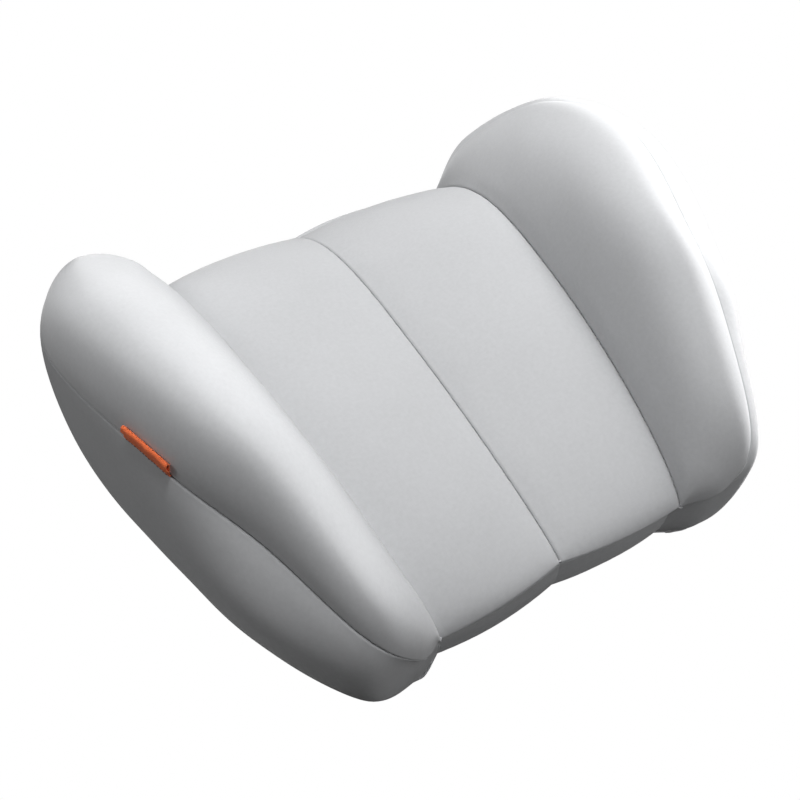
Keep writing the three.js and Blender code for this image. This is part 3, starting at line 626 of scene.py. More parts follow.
def add_camera():
    """The camera looks at the target from its azimuth and elevation, turned about its own line."""
    azimuth, elevation, roll = CAMERA_AZIMUTH, CAMERA_ELEVATION, CAMERA_ROLL
    level = math.cos(elevation)
    back = Vector((-math.sin(azimuth) * level, -math.cos(azimuth) * level, math.sin(elevation)))
    right = Vector((math.cos(azimuth), -math.sin(azimuth), 0))
    up = back.cross(right)
    turned = right * math.cos(roll) + up * math.sin(roll)
    upright = up * math.cos(roll) - right * math.sin(roll)
    data = bpy.data.cameras.new("camera")
    data.lens = CAMERA_LENS
    data.sensor_width = 36
    data.shift_x, data.shift_y = CAMERA_SHIFT
    data.clip_start = 0.01
    camera = bpy.data.objects.new("camera", data)
    bpy.context.scene.collection.objects.link(camera)
    place = Matrix((turned, upright, back)).transposed().to_4x4()
    place.translation = CAMERA_TARGET + back * CAMERA_DISTANCE
    camera.matrix_world = place
    bpy.context.scene.camera = camera


add_camera()


# ---------------------------------------------------------------- finishes: shared effects

def set_input(tree, socket, value):
    """The socket is fed by another socket or holds a number."""
    if isinstance(value, bpy.types.NodeSocket):
        tree.links.new(value, socket)
    elif value is not None:
        socket.default_value = value


def maths(tree, operation, first, second=None):
    """A Math node's result."""
    node = tree.nodes.new("ShaderNodeMath")
    node.operation = operation
    set_input(tree, node.inputs[0], first)
    set_input(tree, node.inputs[1], second)
    return node.outputs[0]


def noise(tree, vector, scale, detail=3):
    """A Noise node's value, about a half on average."""
    node = tree.nodes.new("ShaderNodeTexNoise")
    node.inputs["Scale"].default_value = scale
    node.inputs["Detail"].default_value = detail
    set_input(tree, node.inputs["Vector"], vector)
    return node.outputs["Fac"]


def stretched(tree, vector, scale):
    """The vector with each part multiplied by its own scale."""
    node = tree.nodes.new("ShaderNodeMapping")
    set_input(tree, node.inputs["Vector"], vector)
    node.inputs["Scale"].default_value = scale
    return node.outputs[0]


def parts_of(tree, vector):
    """The vector's x, y and z."""
    node = tree.nodes.new("ShaderNodeSeparateXYZ")
    set_input(tree, node.inputs[0], vector)
    return node.outputs


def blended(tree, share, low, high):
    """The colour low where share is 0 and high where it is 1."""
    node = tree.nodes.new("ShaderNodeMix")
    node.data_type = "RGBA"
    set_input(tree, node.inputs["Factor"], share)
    set_input(tree, node.inputs["A"], low)
    set_input(tree, node.inputs["B"], high)
    return node.outputs["Result"]


def new_group(name, inputs, outputs):
    """An empty shader node group with these sockets, and its input's and output's nodes."""
    group = bpy.data.node_groups.new(name, "ShaderNodeTree")
    for label, kind, value in inputs:
        socket = group.interface.new_socket(label, in_out="INPUT", socket_type=kind)
        if value is not None:
            socket.default_value = value
    for label, kind in outputs:
        group.interface.new_socket(label, in_out="OUTPUT", socket_type=kind)
    return group, group.nodes.new("NodeGroupInput").outputs, group.nodes.new("NodeGroupOutput").inputs


def plain_weave():
    """Yarns over and under each other: a sine of each direction multiplied, with slubs along both."""
    group, given, out = new_group(
        "plain_weave",
        [("Vector", "NodeSocketVector", None), ("Yarns per metre", "NodeSocketFloat", 2500)],
        [("Height", "NodeSocketFloat"), ("Shade", "NodeSocketFloat")],
    )
    across, along, _ = parts_of(group, given["Vector"])
    turns = maths(group, "MULTIPLY", given["Yarns per metre"], math.pi)
    waves = [maths(group, "SINE", maths(group, "MULTIPLY", way, turns)) for way in (across, along)]
    bumps = maths(group, "MULTIPLY_ADD", maths(group, "MULTIPLY", *waves), 0.5)
    bumps.node.inputs[2].default_value = 0.5
    slub_across = noise(group, stretched(group, given["Vector"], (0.12, 1, 1)), 1500, 2)
    slub_along = noise(group, stretched(group, given["Vector"], (1, 0.12, 1)), 1500, 2)
    slubs = maths(group, "ADD", slub_across, slub_along)
    set_input(group, out["Height"], maths(group, "ADD", bumps, maths(group, "MULTIPLY", slubs, 0.6)))
    set_input(group, out["Shade"], maths(group, "MULTIPLY", slubs, 0.5))
    return group


def twill_weave():
    """Slanting ribs that turn back on themselves at every band: a sine of along plus folded across."""
    group, given, out = new_group(
        "twill_weave",
        [
            ("Vector", "NodeSocketVector", None),
            ("Ribs per metre", "NodeSocketFloat", 900),
            ("Band", "NodeSocketFloat", 0.005),
        ],
        [("Height", "NodeSocketFloat")],
    )
    across, along, _ = parts_of(group, given["Vector"])
    folded = maths(group, "PINGPONG", along, given["Band"])
    place = maths(group, "ADD", across, folded)
    turns = maths(group, "MULTIPLY", given["Ribs per metre"], 2 * math.pi)
    wave = maths(group, "SINE", maths(group, "MULTIPLY", place, turns))
    ribs = maths(group, "MULTIPLY_ADD", wave, 0.5)
    ribs.node.inputs[2].default_value = 0.5
    set_input(group, out["Height"], ribs)
    return group


def wear_and_shade_colour():
    """A colour a little lighter and darker in slow patches, in fine specks and by the given shade, which
    for the webbing is painted shade in the hollows of its twill.
    """
    group, given, out = new_group(
        "wear_and_shade_colour",
        [
            ("Vector", "NodeSocketVector", None),
            ("Colour", "NodeSocketColor", None),
            ("Shade", "NodeSocketFloat", 0.5),
            ("Amount", "NodeSocketFloat", 0.2),
        ],
        [("Colour", "NodeSocketColor"), ("Patches", "NodeSocketFloat")],
    )
    slow = noise(group, given["Vector"], 14, 4)
    fine = noise(group, given["Vector"], 420, 2)
    # The given shade is added to the patches and specks here; the webbing's is painted shade.
    total = maths(group, "ADD", maths(group, "ADD", slow, fine), given["Shade"])
    centred = maths(group, "SUBTRACT", total, 1.5)
    gain = maths(group, "ADD", maths(group, "MULTIPLY", centred, given["Amount"]), 1)
    node = group.nodes.new("ShaderNodeVectorMath")
    node.operation = "SCALE"
    set_input(group, node.inputs[0], given["Colour"])
    set_input(group, node.inputs["Scale"], gain)
    set_input(group, out["Colour"], node.outputs[0])
    set_input(group, out["Patches"], slow)
    return group


def moulded_grain():
    """Fine sparkle texture of a mould, and longer rub marks."""
    group, given, out = new_group(
        "moulded_grain",
        [("Vector", "NodeSocketVector", None), ("Grain", "NodeSocketFloat", 2200)],
        [("Height", "NodeSocketFloat"), ("Rubbed", "NodeSocketFloat")],
    )
    node = group.nodes.new("ShaderNodeTexNoise")
    node.inputs["Detail"].default_value = 2
    set_input(group, node.inputs["Vector"], given["Vector"])
    set_input(group, node.inputs["Scale"], given["Grain"])
    rub = noise(group, stretched(group, given["Vector"], (1, 0.15, 1)), 260, 4)
    set_input(group, out["Height"], node.outputs["Fac"])
    set_input(group, out["Rubbed"], rub)
    return group


PLAIN_WEAVE = plain_weave()
TWILL_WEAVE = twill_weave()
WEAR_AND_SHADE_COLOUR = wear_and_shade_colour()
MOULDED_GRAIN = moulded_grain()


# ---------------------------------------------------------------- finishes: materials

def new_material(name, **constants):
    """A material and its shader, with constants set on the shader's own sockets."""
    material = bpy.data.materials.new(name)
    material.use_nodes = True
    shader = material.node_tree.nodes["Principled BSDF"]
    for label, value in constants.items():
        shader.inputs[label.replace("_", " ")].default_value = value
    return material, material.node_tree, shader


def put_group(tree, group, **values):
    """The group in a material's tree, with its inputs fed or set; underscores stand for spaces."""
    node = tree.nodes.new("ShaderNodeGroup")
    node.node_tree = group
    for label, value in values.items():
        set_input(tree, node.inputs[label.replace("_", " ")], value)
    return node.outputs


def spread(tree, value, low, high):
    """A value of 0 to 1 carried to low to high."""
    return maths(tree, "ADD", maths(tree, "MULTIPLY", value, high - low), low)


def bumped(tree, shader, height, distance, strength=1):
    """A Bump node from height to the shader's Normal."""
    node = tree.nodes.new("ShaderNodeBump")
    node.inputs["Strength"].default_value = strength
    node.inputs["Distance"].default_value = distance
    set_input(tree, node.inputs["Height"], height)
    set_input(tree, shader.inputs["Normal"], node.outputs[0])


def cloth_material(name, colour, yarns, amount=0.2, sheen=0.35, rough=(0.62, 0.8), bump=0.00008, on="UV"):
    """Woven cloth: yarns by the plain weave, patches and specks of colour, sheen from its nap."""
    material, tree, shader = new_material(
        name, Sheen_Weight=sheen, Sheen_Roughness=0.45, Specular_IOR_Level=0.3
    )
    places = tree.nodes.new("ShaderNodeTexCoord").outputs
    weave = put_group(tree, PLAIN_WEAVE, Vector=places[on], Yarns_per_metre=yarns)
    worn = put_group(
        tree, WEAR_AND_SHADE_COLOUR, Vector=places["Object"], Colour=(*colour, 1), Shade=weave["Shade"], Amount=amount
    )
    set_input(tree, shader.inputs["Base Color"], worn["Colour"])
    set_input(tree, shader.inputs["Roughness"], spread(tree, worn["Patches"], *rough))
    bumped(tree, shader, weave["Height"], bump)
    return material


def webbing_material(name, colour, ribs, band, bump=0.0002):
    """Webbing: a herringbone twill whose hollows between the ribs are painted darker, as painted shade."""
    material, tree, shader = new_material(name, Sheen_Weight=0.25, Sheen_Roughness=0.4)
    places = tree.nodes.new("ShaderNodeTexCoord").outputs
    twill = put_group(tree, TWILL_WEAVE, Vector=places["UV"], Ribs_per_metre=ribs, Band=band)
    # Painted shade: the twill's height goes in as the shade, so the colour is darker in the low places
    # between the ribs.
    worn = put_group(
        tree, WEAR_AND_SHADE_COLOUR, Vector=places["Object"], Colour=(*colour, 1), Shade=twill["Height"], Amount=0.45
    )
    set_input(tree, shader.inputs["Base Color"], worn["Colour"])
    set_input(tree, shader.inputs["Roughness"], spread(tree, worn["Patches"], 0.5, 0.72))
    bumped(tree, shader, twill["Height"], bump)
    return material


def moulded_material(name, colour, rough, metallic=0, bump=0.00003, grain=2200):
    """Moulded plastic or cast metal: mould grain, rubbed streaks that shine more, uneven colour."""
    material, tree, shader = new_material(name)
    places = tree.nodes.new("ShaderNodeTexCoord").outputs
    grains = put_group(tree, MOULDED_GRAIN, Vector=places["Object"], Grain=grain)
    worn = put_group(
        tree, WEAR_AND_SHADE_COLOUR, Vector=places["Object"], Colour=(*colour, 1), Shade=grains["Rubbed"], Amount=0.25
    )
    shader.inputs["Metallic"].default_value = metallic
    set_input(tree, shader.inputs["Base Color"], worn["Colour"])
    set_input(tree, shader.inputs["Roughness"], spread(tree, grains["Rubbed"], *rough))
    bumped(tree, shader, grains["Height"], bump)
    return material


def foam_material():
    """Foam: round open cells pressed into a pale body, with painted shade darkening the hollow middle of
    each cell.
    """
    material, tree, shader = new_material("foam", Sheen_Weight=0.1)
    places = tree.nodes.new("ShaderNodeTexCoord").outputs
    cells = tree.nodes.new("ShaderNodeTexVoronoi")
    cells.inputs["Scale"].default_value = 900
    set_input(tree, cells.inputs["Vector"], places["Object"])
    # Painted shade: the colour is dark where the cell distance is small, in the middle of each cell, where
    # the bump makes its hollow.
    colour = blended(tree, cells.outputs["Distance"], (0.35, 0.33, 0.27, 1), (0.72, 0.69, 0.58, 1))
    set_input(tree, shader.inputs["Base Color"], colour)
    set_input(tree, shader.inputs["Roughness"], spread(tree, cells.outputs["Distance"], 0.7, 0.9))
    bumped(tree, shader, cells.outputs["Distance"], 0.0006)
    return material


COVER_CLOTH = cloth_material("cover_cloth", (0.47, 0.476, 0.487), 4600, 0.12, bump=0.00002)
BACK_CLOTH = cloth_material("back_cloth", (0.105, 0.107, 0.112), 1500, 0.3, bump=0.00016)
LINER_KNIT = cloth_material("liner_knit", (0.78, 0.78, 0.76), 900, 0.12, bump=0.0002)
TAG_RIBBON = cloth_material("tag_ribbon", (0.86, 0.17, 0.05), 1700, 0.5, 0.2, bump=0.00016)
ZIP_TAPE = cloth_material("zip_tape", (0.06, 0.061, 0.064), 1300, 0.35, bump=0.00016)
SEWING_THREAD = cloth_material("sewing_thread", (0.1, 0.103, 0.11), 3000, 0.5, 0.3, on="Object")
WEBBING = webbing_material("webbing", (0.05, 0.051, 0.054), 700, 0.0042)
BUCKLE_PLASTIC = moulded_material("buckle_plastic", (0.022, 0.022, 0.024), (0.28, 0.52))
ZIP_PLASTIC = moulded_material("zip_plastic", (0.045, 0.045, 0.048), (0.25, 0.45))
ZIP_METAL = moulded_material("zip_metal", (0.33, 0.335, 0.345), (0.2, 0.42), 1, 0.00001, 900)
FOAM = foam_material()


# ---------------------------------------------------------------- foam, liner and front of the cover

LINER_DEPTH = 1.75
FOAM_DEPTH = 2.9
LINER_THICKNESS = 0.5

coarse_normals = common_normals(coarse)
inner = []
for name, points in coarse.items():
    still = np.zeros_like(points)
    inner.append((sew(name, points, coarse_normals[name], still), coarse_normals[name]))
inner_points = np.concatenate([points.reshape(-1, 3) for points, _ in inner])
inner_normals = np.concatenate([directions.reshape(-1, 3) for _, directions in inner])
inner_faces, at = [], 0
for name, points in coarse.items():
    inner_faces.append(sheet_faces(*points.shape[:2], name in CLOSED) + at)
    at += points.shape[0] * points.shape[1]
inner_faces = np.concatenate(inner_faces)
for name, depth, node, material, slot in (
    ("foam_pad", FOAM_DEPTH, "foam_core", FOAM, "foam"),
    ("knitted_liner", LINER_DEPTH, "inner_liner", LINER_KNIT, "liner_knit"),
):
    piece = give(add_mesh(name, inner_points - inner_normals * depth, inner_faces), material)
    if name == "knitted_liner":
        thicken(piece, LINER_THICKNESS)
    rides(piece, "cushion", slot, node)

COVER_THICKNESS = 1.2
for name, node in (
    ("wing_left", "front_panel_wing_left"),
    ("centre_left", "front_panel_centre_left"),
    ("centre_right", "front_panel_centre_right"),
    ("wing_right", "front_panel_wing_right"),
    ("side", "side_gusset"),
):
    piece = give(add_grid("cover_" + name, sewn[name], name in CLOSED), COVER_CLOTH)
    thicken(piece, COVER_THICKNESS)
    rides(piece, "cushion", "cover_fabric", node)


# ---------------------------------------------------------------- back of the cover

def box_of(node):
    """A CAD node's lowest and highest corner in millimetres."""
    low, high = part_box(node)
    return np.array(low) / MM, np.array(high) / MM


# The window is cut this much wider than the zip's tapes.
WINDOW_CLEARANCE = 0.3
PANEL_GAP = 0.35
zip_low, zip_high = box_of("zip_tape_lower")
ZIP_Y = sum(box_of("zip_slider"))[1] / 2
WINDOW_X = zip_high[0] + WINDOW_CLEARANCE
WINDOW_Y = ZIP_Y - zip_low[1] + WINDOW_CLEARANCE


def cut_back(piece, side):
    """Keeps the part of the back above (side 1) or below (side -1) the zip, less the zip's window."""
    sheet = bmesh.new()
    sheet.from_mesh(piece.data)
    planes = [((0, ZIP_Y + side * PANEL_GAP, 0), (0, 1, 0)), ((0, ZIP_Y + side * WINDOW_Y, 0), (0, 1, 0))]
    planes += [((WINDOW_X, 0, 0), (1, 0, 0)), ((-WINDOW_X, 0, 0), (1, 0, 0))]
    for place, normal in planes:
        everything = sheet.verts[:] + sheet.edges[:] + sheet.faces[:]
        at = [value * MM for value in place]
        bmesh.ops.bisect_plane(sheet, geom=everything, dist=1e-7, plane_co=at, plane_no=normal)
    gone = []
    for face in sheet.faces:
        x, y, _ = face.calc_center_median() / MM
        away = (y - ZIP_Y) * side
        if away < PANEL_GAP or (abs(x) < WINDOW_X and away < WINDOW_Y):
            gone.append(face)
    bmesh.ops.delete(sheet, geom=gone, context="FACES")
    sheet.to_mesh(piece.data)
    sheet.free()


for side, label in ((1, "upper"), (-1, "lower")):
    piece = give(add_grid("cover_back_" + label, sewn["back"], True), BACK_CLOTH)
    cut_back(piece, side)
    thicken(piece, COVER_THICKNESS)
    rides(piece, "cushion", "back_fabric", "back_panel_" + label)


# ---------------------------------------------------------------- sewing thread

def capsule(length, radius, rings=5, columns=6):
    """A stitch: a small closed rod lying along x.

    Its radius falls by the square root of 1 less the cube of the share of the way to its ends.
    """
    share = np.linspace(-1, 1, rings)[:, None]
    turn = np.linspace(0, 2 * math.pi, columns, endpoint=False)[None]
    girth = radius * (1 - np.abs(share) ** 3) ** 0.5
    x = np.broadcast_to(share * length / 2, (rings, columns))
    return np.stack([x, girth * np.cos(turn), girth * np.sin(turn)], -1)


def repeated(name, shape, places, frames):
    """One mesh of many copies of a small closed grid, each with its own place and three axes."""
    rows, columns = shape.shape[:2]
    points = np.einsum("rcj,njk->nrck", shape, frames) + places[:, None, None]
    cells = sheet_faces(rows, columns, True)
    faces = cells[None] + (np.arange(len(places)) * rows * columns)[:, None, None]
    return add_mesh(name, points, faces.reshape(-1, 4))


# Half the run of line that a stitch's direction is taken from.
STITCH_SPAN = 0.7


def stitch_places(line, out, pitch, closed=False):
    """Even places along a line, with the axes along it, across it and out of the cloth."""
    if closed:
        line, out = np.vstack([line, line[:1]]), np.vstack([out, out[:1]])
    run = np.r_[0, np.cumsum(np.linalg.norm(np.diff(line, axis=0), axis=1))]
    count = max(1, round(run[-1] / pitch))
    at = (np.arange(count) + 0.5) * run[-1] / count
    place, ahead, behind, outwards = (
        np.stack([np.interp(where, run, values[:, k]) for k in range(3)], 1)
        for where, values in ((at, line), (at + STITCH_SPAN, line), (at - STITCH_SPAN, line), (at, out))
    )
    along = unit(ahead - behind)
    across = unit(np.cross(outwards, along))
    return place, np.stack([along, across, np.cross(along, across)], 1)


STITCH_LENGTH = 2.4
STITCH_PITCH = 3.4
STITCH_RADIUS = 0.3


def thread(
    name, lines, radius=STITCH_RADIUS, length=STITCH_LENGTH, rise=0.5, pitch=STITCH_PITCH, wander=0.12
):
    """Stitches along lines, each leaning and shifting a little by its own amount."""
    placed = [stitch_places(line, out, pitch, closed) for line, out, closed in lines]
    places = np.concatenate([place for place, _ in placed])
    frames = np.concatenate([frame_axes for _, frame_axes in placed])
    number = np.arange(len(places))
    shift = wander * np.sin(number * 2.4) + wander * np.sin(number * 0.37)
    lean = 0.5 * wander * np.sin(number * 1.7 + 1)
    frames[:, 0] = unit(frames[:, 0] + frames[:, 1] * lean[:, None])
    frames[:, 1] = np.cross(frames[:, 2], frames[:, 0])
    places = places + frames[:, 1] * shift[:, None] + frames[:, 2] * rise * radius
    piece = give(repeated(name, capsule(length, radius), places, frames), SEWING_THREAD)
    return rides(piece, "cushion", "webbing")


thread("outer_seam_thread", [(sewn["side"][0], normals["side"][0], True)], 0.36, 2.5, 0.9, wander=0.16)
thread(
    "front_seam_thread",
    [
        (sewn["centre_right"][0], normals["centre_right"][0], False),
        (sewn["centre_right"][-1], normals["centre_right"][-1], False),
        (sewn["centre_left"][0], normals["centre_left"][0], False),
    ],
    0.26,
    2.2,
    0.2,
)
thread("base_seam_thread", [(sewn["back"][0], normals["back"][0], True)], 0.3, 2.5, 0.5)

back_level = np.median(sewn["back"][-8:, :, 2]) - 0.05
ZIP_HEM = 2.2


def level_line(level, *corners):
    """An open line of straight runs at one level, with its outwards directions, which are downwards."""
    line = np.array([(x, y, level) for x, y in corners], float)
    return line, np.tile([0.0, 0.0, -1.0], (len(line), 1)), False


hem = WINDOW_Y + ZIP_HEM
zip_edge = WINDOW_X + ZIP_HEM
thread(
    "zip_hem_thread",
    [
        level_line(back_level, (-zip_edge, ZIP_Y - hem), (zip_edge, ZIP_Y - hem), (zip_edge, ZIP_Y + hem)),
        level_line(back_level, (zip_edge, ZIP_Y + hem), (-zip_edge, ZIP_Y + hem), (-zip_edge, ZIP_Y - hem)),
    ],
)


# ---------------------------------------------------------------- bands: zip tapes and straps

def rounded_path(corners, radius, step=1.2):
    """A path in x and z through corners, each rounded by a quadratic curve.

    The curve starts and ends a radius from its corner, or just under half way to the next corner
    where that is nearer.
    """
    corners = np.array(corners, float)
    runs = [corners[:1]]
    for before, corner, after in zip(corners, corners[1:], corners[2:]):
        back, ahead = np.linalg.norm(before - corner), np.linalg.norm(after - corner)
        reach = min(radius, 0.49 * back, 0.49 * ahead)
        start = corner + (before - corner) / back * reach
        end = corner + (after - corner) / ahead * reach
        share = np.linspace(0, 1, 7)[:, None]
        runs.append((1 - share) ** 2 * start + 2 * share * (1 - share) * corner + share**2 * end)
    runs.append(corners[-1:])
    line = np.concatenate(runs)
    run = np.r_[0, np.cumsum(np.linalg.norm(np.diff(line, axis=0), axis=1))]
    extra = np.linspace(0, run[-1], max(2, round(run[-1] / step)))
    at = np.unique(np.round(np.r_[run, extra], 3))
    return np.stack([np.interp(at, run, line[:, k]) for k in range(2)], 1)


BAND_COLUMNS = 40


def band(name, path, y, width, thickness, wave=0.0):
    """A woven band: a flat rounded section carried along a path in x and z, its ends closed to a line.

    The section is a superellipse, width by thickness; wave lets its edges wander by that much.
    """
    turn = np.linspace(0, 2 * math.pi, BAND_COLUMNS, endpoint=False)
    flat, tall = np.cos(turn), np.sin(turn)
    side = np.sign(flat) * np.abs(flat) ** 0.35 * width / 2
    lift_by = np.sign(tall) * np.abs(tall) ** 0.3 * thickness / 2
    ahead = np.gradient(path, axis=0)
    ahead /= np.linalg.norm(ahead, axis=1, keepdims=True)
    up = np.stack([-ahead[:, 1], ahead[:, 0]], 1)
    run = np.r_[0, np.cumsum(np.linalg.norm(np.diff(path, axis=0), axis=1))]
    edge = wave * np.sin(run / 3.1) * np.sin(run / 11)
    end = np.ones(len(path))
    end[[0, -1]] = 0
    x = path[:, :1] + up[:, :1] * lift_by * end[:, None]
    z = path[:, 1:] + up[:, 1:] * lift_by * end[:, None]
    points = np.stack([x, y + side[None] + edge[:, None], z], -1)
    points = points[:, ::-1]
    rows, columns = points.shape[:2]
    uv = np.stack(np.broadcast_arrays(run[:, None], np.abs(points[..., 1] - y)), -1)
    faces = sheet_faces(rows, columns, True)
    return add_mesh(name, points, faces, uv, faces)


for label in ("upper", "lower"):
    low, high = box_of("zip_tape_" + label)
    level = (low[2] + high[2]) / 2
    path = np.array([(x, level) for x in np.linspace(low[0], high[0], 80)])
    width, depth = high[1:] - low[1:]
    piece = band("zip_tape_woven_" + label, path, (low[1] + high[1]) / 2, width, depth)
    rides(give(piece, ZIP_TAPE), "cushion", "zip_tape", "zip_tape_" + label)

# Each tooth is a rounded block, and the two rows pass between each other.
TOOTH_PITCH = 2.4
TOOTH_WIDTH = 1.15
for label, side in (("upper", 1), ("lower", -1)):
    low, high = box_of("zip_teeth_" + label)
    count = int((high[0] - low[0] - TOOTH_WIDTH) / TOOTH_PITCH)
    x = low[0] + TOOTH_WIDTH + np.arange(count) * TOOTH_PITCH + (TOOTH_PITCH / 2 if side > 0 else 0)
    middle = (low + high) / 2
    places = np.stack([x, np.full(count, middle[1]), np.full(count, middle[2])], 1)
    frames = np.tile(np.array([(0, 1, 0), (1, 0, 0), (0, 0, -1)], float), (count, 1, 1))
    shape = capsule(high[1] - low[1], 1, 5, 8) * np.array([1, TOOTH_WIDTH / 2, (high[2] - low[2]) / 2])
    piece = repeated("zip_teeth_moulded_" + label, shape, places, frames)
    rides(give(piece, ZIP_PLASTIC), "cushion", "zip_plastic", "zip_teeth_" + label)

# The strap's levels and turns are the CAD strap's, measured from its parts' boxes. It lies under the
# adjuster's top bar, round the buckle's two end bars and back.
strap_low, strap_high = box_of("strap_right")
STRAP_Y = (strap_low[1] + strap_high[1]) / 2
STRAP_WIDTH = strap_high[1] - strap_low[1]
STRAP_THICKNESS = 1.4
ADJUSTER_WALL = 1.6
ADJUSTER_CLEARANCE = 0.3
adjuster_top = box_of("strap_adjuster")[1][2]
RUN_Z = adjuster_top - ADJUSTER_WALL - ADJUSTER_CLEARANCE - STRAP_THICKNESS / 2
END_Z = strap_high[2] - STRAP_THICKNESS / 2
UNDER_Z = strap_low[2] + STRAP_THICKNESS / 2
END_X = strap_high[0]
SOCKET_LOW = box_of("buckle_socket")[0]
PLUG_HIGH = box_of("buckle_plug")[1]
RETURN_LOW, RETURN_HIGH = box_of("strap_return")
BAR_X = 3.4
NOSE = 1.0
LEFT_NOSE = SOCKET_LOW[0] + BAR_X + NOSE
RIGHT_NOSE = PLUG_HIGH[0] - BAR_X - NOSE
TAIL_Z = RUN_Z - STRAP_THICKNESS
TURN = 1.5

# Where the sewn end leaves the back and where it reaches the level run.
SLOPE_START_X = 104
SLOPE_END_X = 96


def lifted_end(side):
    """The strap's sewn end against the back and its slope down to the level run."""
    return [(side * END_X, END_Z), (side * SLOPE_START_X, END_Z), (side * SLOPE_END_X, RUN_Z)]


# The tail folded back under the left strap: how far past the socket it stays low, lies against the
# strap and ends, with the four lines of thread that hold it.
TAIL_LOW = 3
TAIL_LEVEL = 12
TAIL_END = 24
TAIL_THREADS = (22, 19.5, 15.5, 13)
TAIL_THREAD_HALF = 10.8
left_tail = SOCKET_LOW[0]
left_path = rounded_path(
    lifted_end(-1)
    + [
        (LEFT_NOSE, RUN_Z),
        (LEFT_NOSE, UNDER_Z),
        (left_tail - TAIL_LOW, UNDER_Z),
        (left_tail - TAIL_LEVEL, TAIL_Z),
        (left_tail - TAIL_END, TAIL_Z),
    ],
    TURN,
)
left_strap = band("strap_left_webbing", left_path, STRAP_Y, STRAP_WIDTH, STRAP_THICKNESS, 0.1)
rides(give(left_strap, WEBBING), "cushion", "webbing", "strap_left")

# The right strap's end lies this far past the plug, and follows the plug up to the margin past it.
PLUG_TAIL = 3
right_turn = [(RIGHT_NOSE, RUN_Z), (RIGHT_NOSE, UNDER_Z), (PLUG_HIGH[0] + PLUG_TAIL, UNDER_Z)]
right_path = rounded_path(lifted_end(1) + right_turn, TURN)
right_strap = band("strap_right_webbing", right_path, STRAP_Y, STRAP_WIDTH, STRAP_THICKNESS, 0.1)
rides(give(right_strap, WEBBING), None, "webbing", "strap_right")
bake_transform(right_strap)

# The return run's eye round the adjuster's bar: how long its top is, how far it slopes down from there
# and how far short of the run's start it ends.
EYE_TOP = 5.3
EYE_SLOPE = 5
EYE_END = 5.7
eye_x = RETURN_HIGH[0] - STRAP_THICKNESS / 2
eye_z = RETURN_HIGH[2] - STRAP_THICKNESS / 2
return_path = rounded_path(
    [
        (RETURN_LOW[0], UNDER_Z),
        (eye_x, UNDER_Z),
        (eye_x, eye_z),
        (eye_x - EYE_TOP, eye_z),
        (eye_x - EYE_TOP - EYE_SLOPE, UNDER_Z + STRAP_THICKNESS),
        (RETURN_LOW[0] + EYE_END, UNDER_Z + STRAP_THICKNESS),
    ],
    TURN,
)
return_strap = band("strap_return_webbing", return_path[::-1], STRAP_Y, STRAP_WIDTH, STRAP_THICKNESS, 0.1)
rides(give(return_strap, WEBBING), None, "webbing", "strap_return")
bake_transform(return_strap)


# The patch turns up this far inside the strap's edge, over this width and to this height, and lies
# this far above its CAD box's lowest level over the webbing.
PATCH_INSIDE = 0.4
PATCH_SLOPE = 1.8
PATCH_RISE = 1.6
PATCH_LEVEL = 0.1
PATCH_RIPPLE = 0.06
PATCH_INSET = 2.6
PATCH_EDGE = 1.6


def patch_points(low, high):
    """A patch over a strap's end: flat over the webbing, rising to the back panel beyond its edges.

    Height is the lowest level plus a smooth step of how far a point is past the strap's edges, with a
    small ripple of two sines multiplied.
    """
    x, y = np.meshgrid(np.linspace(low[0], high[0], 34), np.linspace(low[1], high[1], 44), indexing="ij")
    past_side = np.clip((np.abs(y - STRAP_Y) - STRAP_WIDTH / 2 + PATCH_INSIDE) / PATCH_SLOPE, 0, 1)
    past_end = np.clip((np.abs(x) - END_X + PATCH_INSIDE) / PATCH_SLOPE, 0, 1)
    rise = smooth_step(np.maximum(past_side, past_end))
    ripple = PATCH_RIPPLE * np.sin(x / 2.3) * np.sin(y / 2.9)
    return np.stack([x, y, low[2] + ripple + PATCH_LEVEL + PATCH_RISE * rise], -1)


for label in ("left", "right"):
    low, high = box_of("strap_patch_" + label)
    piece = give(add_grid("strap_patch_cloth_" + label, patch_points(low, high)[::-1]), BACK_CLOTH)
    thicken(piece, high[2] - low[2] - 0.15)
    rides(piece, "cushion", "back_fabric", "strap_patch_" + label)
    left, right = low[0] + PATCH_INSET, high[0] - PATCH_INSET
    near, far = STRAP_Y - STRAP_WIDTH / 2 + PATCH_EDGE, STRAP_Y + STRAP_WIDTH / 2 - PATCH_EDGE
    a, b, c, d = (left, near), (right, near), (right, far), (left, far)
    level = low[2] - 0.02
    lines = [level_line(level, a, b, c, d, a, c), level_line(level, b, d)]
    thread("strap_patch_thread_" + label, lines, 0.26, 1.9, 0.3, 2.6, 0.03)

tail_lines = []
for past in TAIL_THREADS:
    x = left_tail - past
    ends = (x, STRAP_Y - TAIL_THREAD_HALF), (x, STRAP_Y + TAIL_THREAD_HALF)
    tail_lines.append(level_line(TAIL_Z - STRAP_THICKNESS / 2, *ends))
thread("strap_tail_thread", tail_lines, 0.24, 1.7, 0.3, 2.2, 0.03)


# ---------------------------------------------------------------- moulded and metal parts

# Faces that meet at less than this, in radians, are made one before the bevel.
FLAT_ANGLE = 0.02


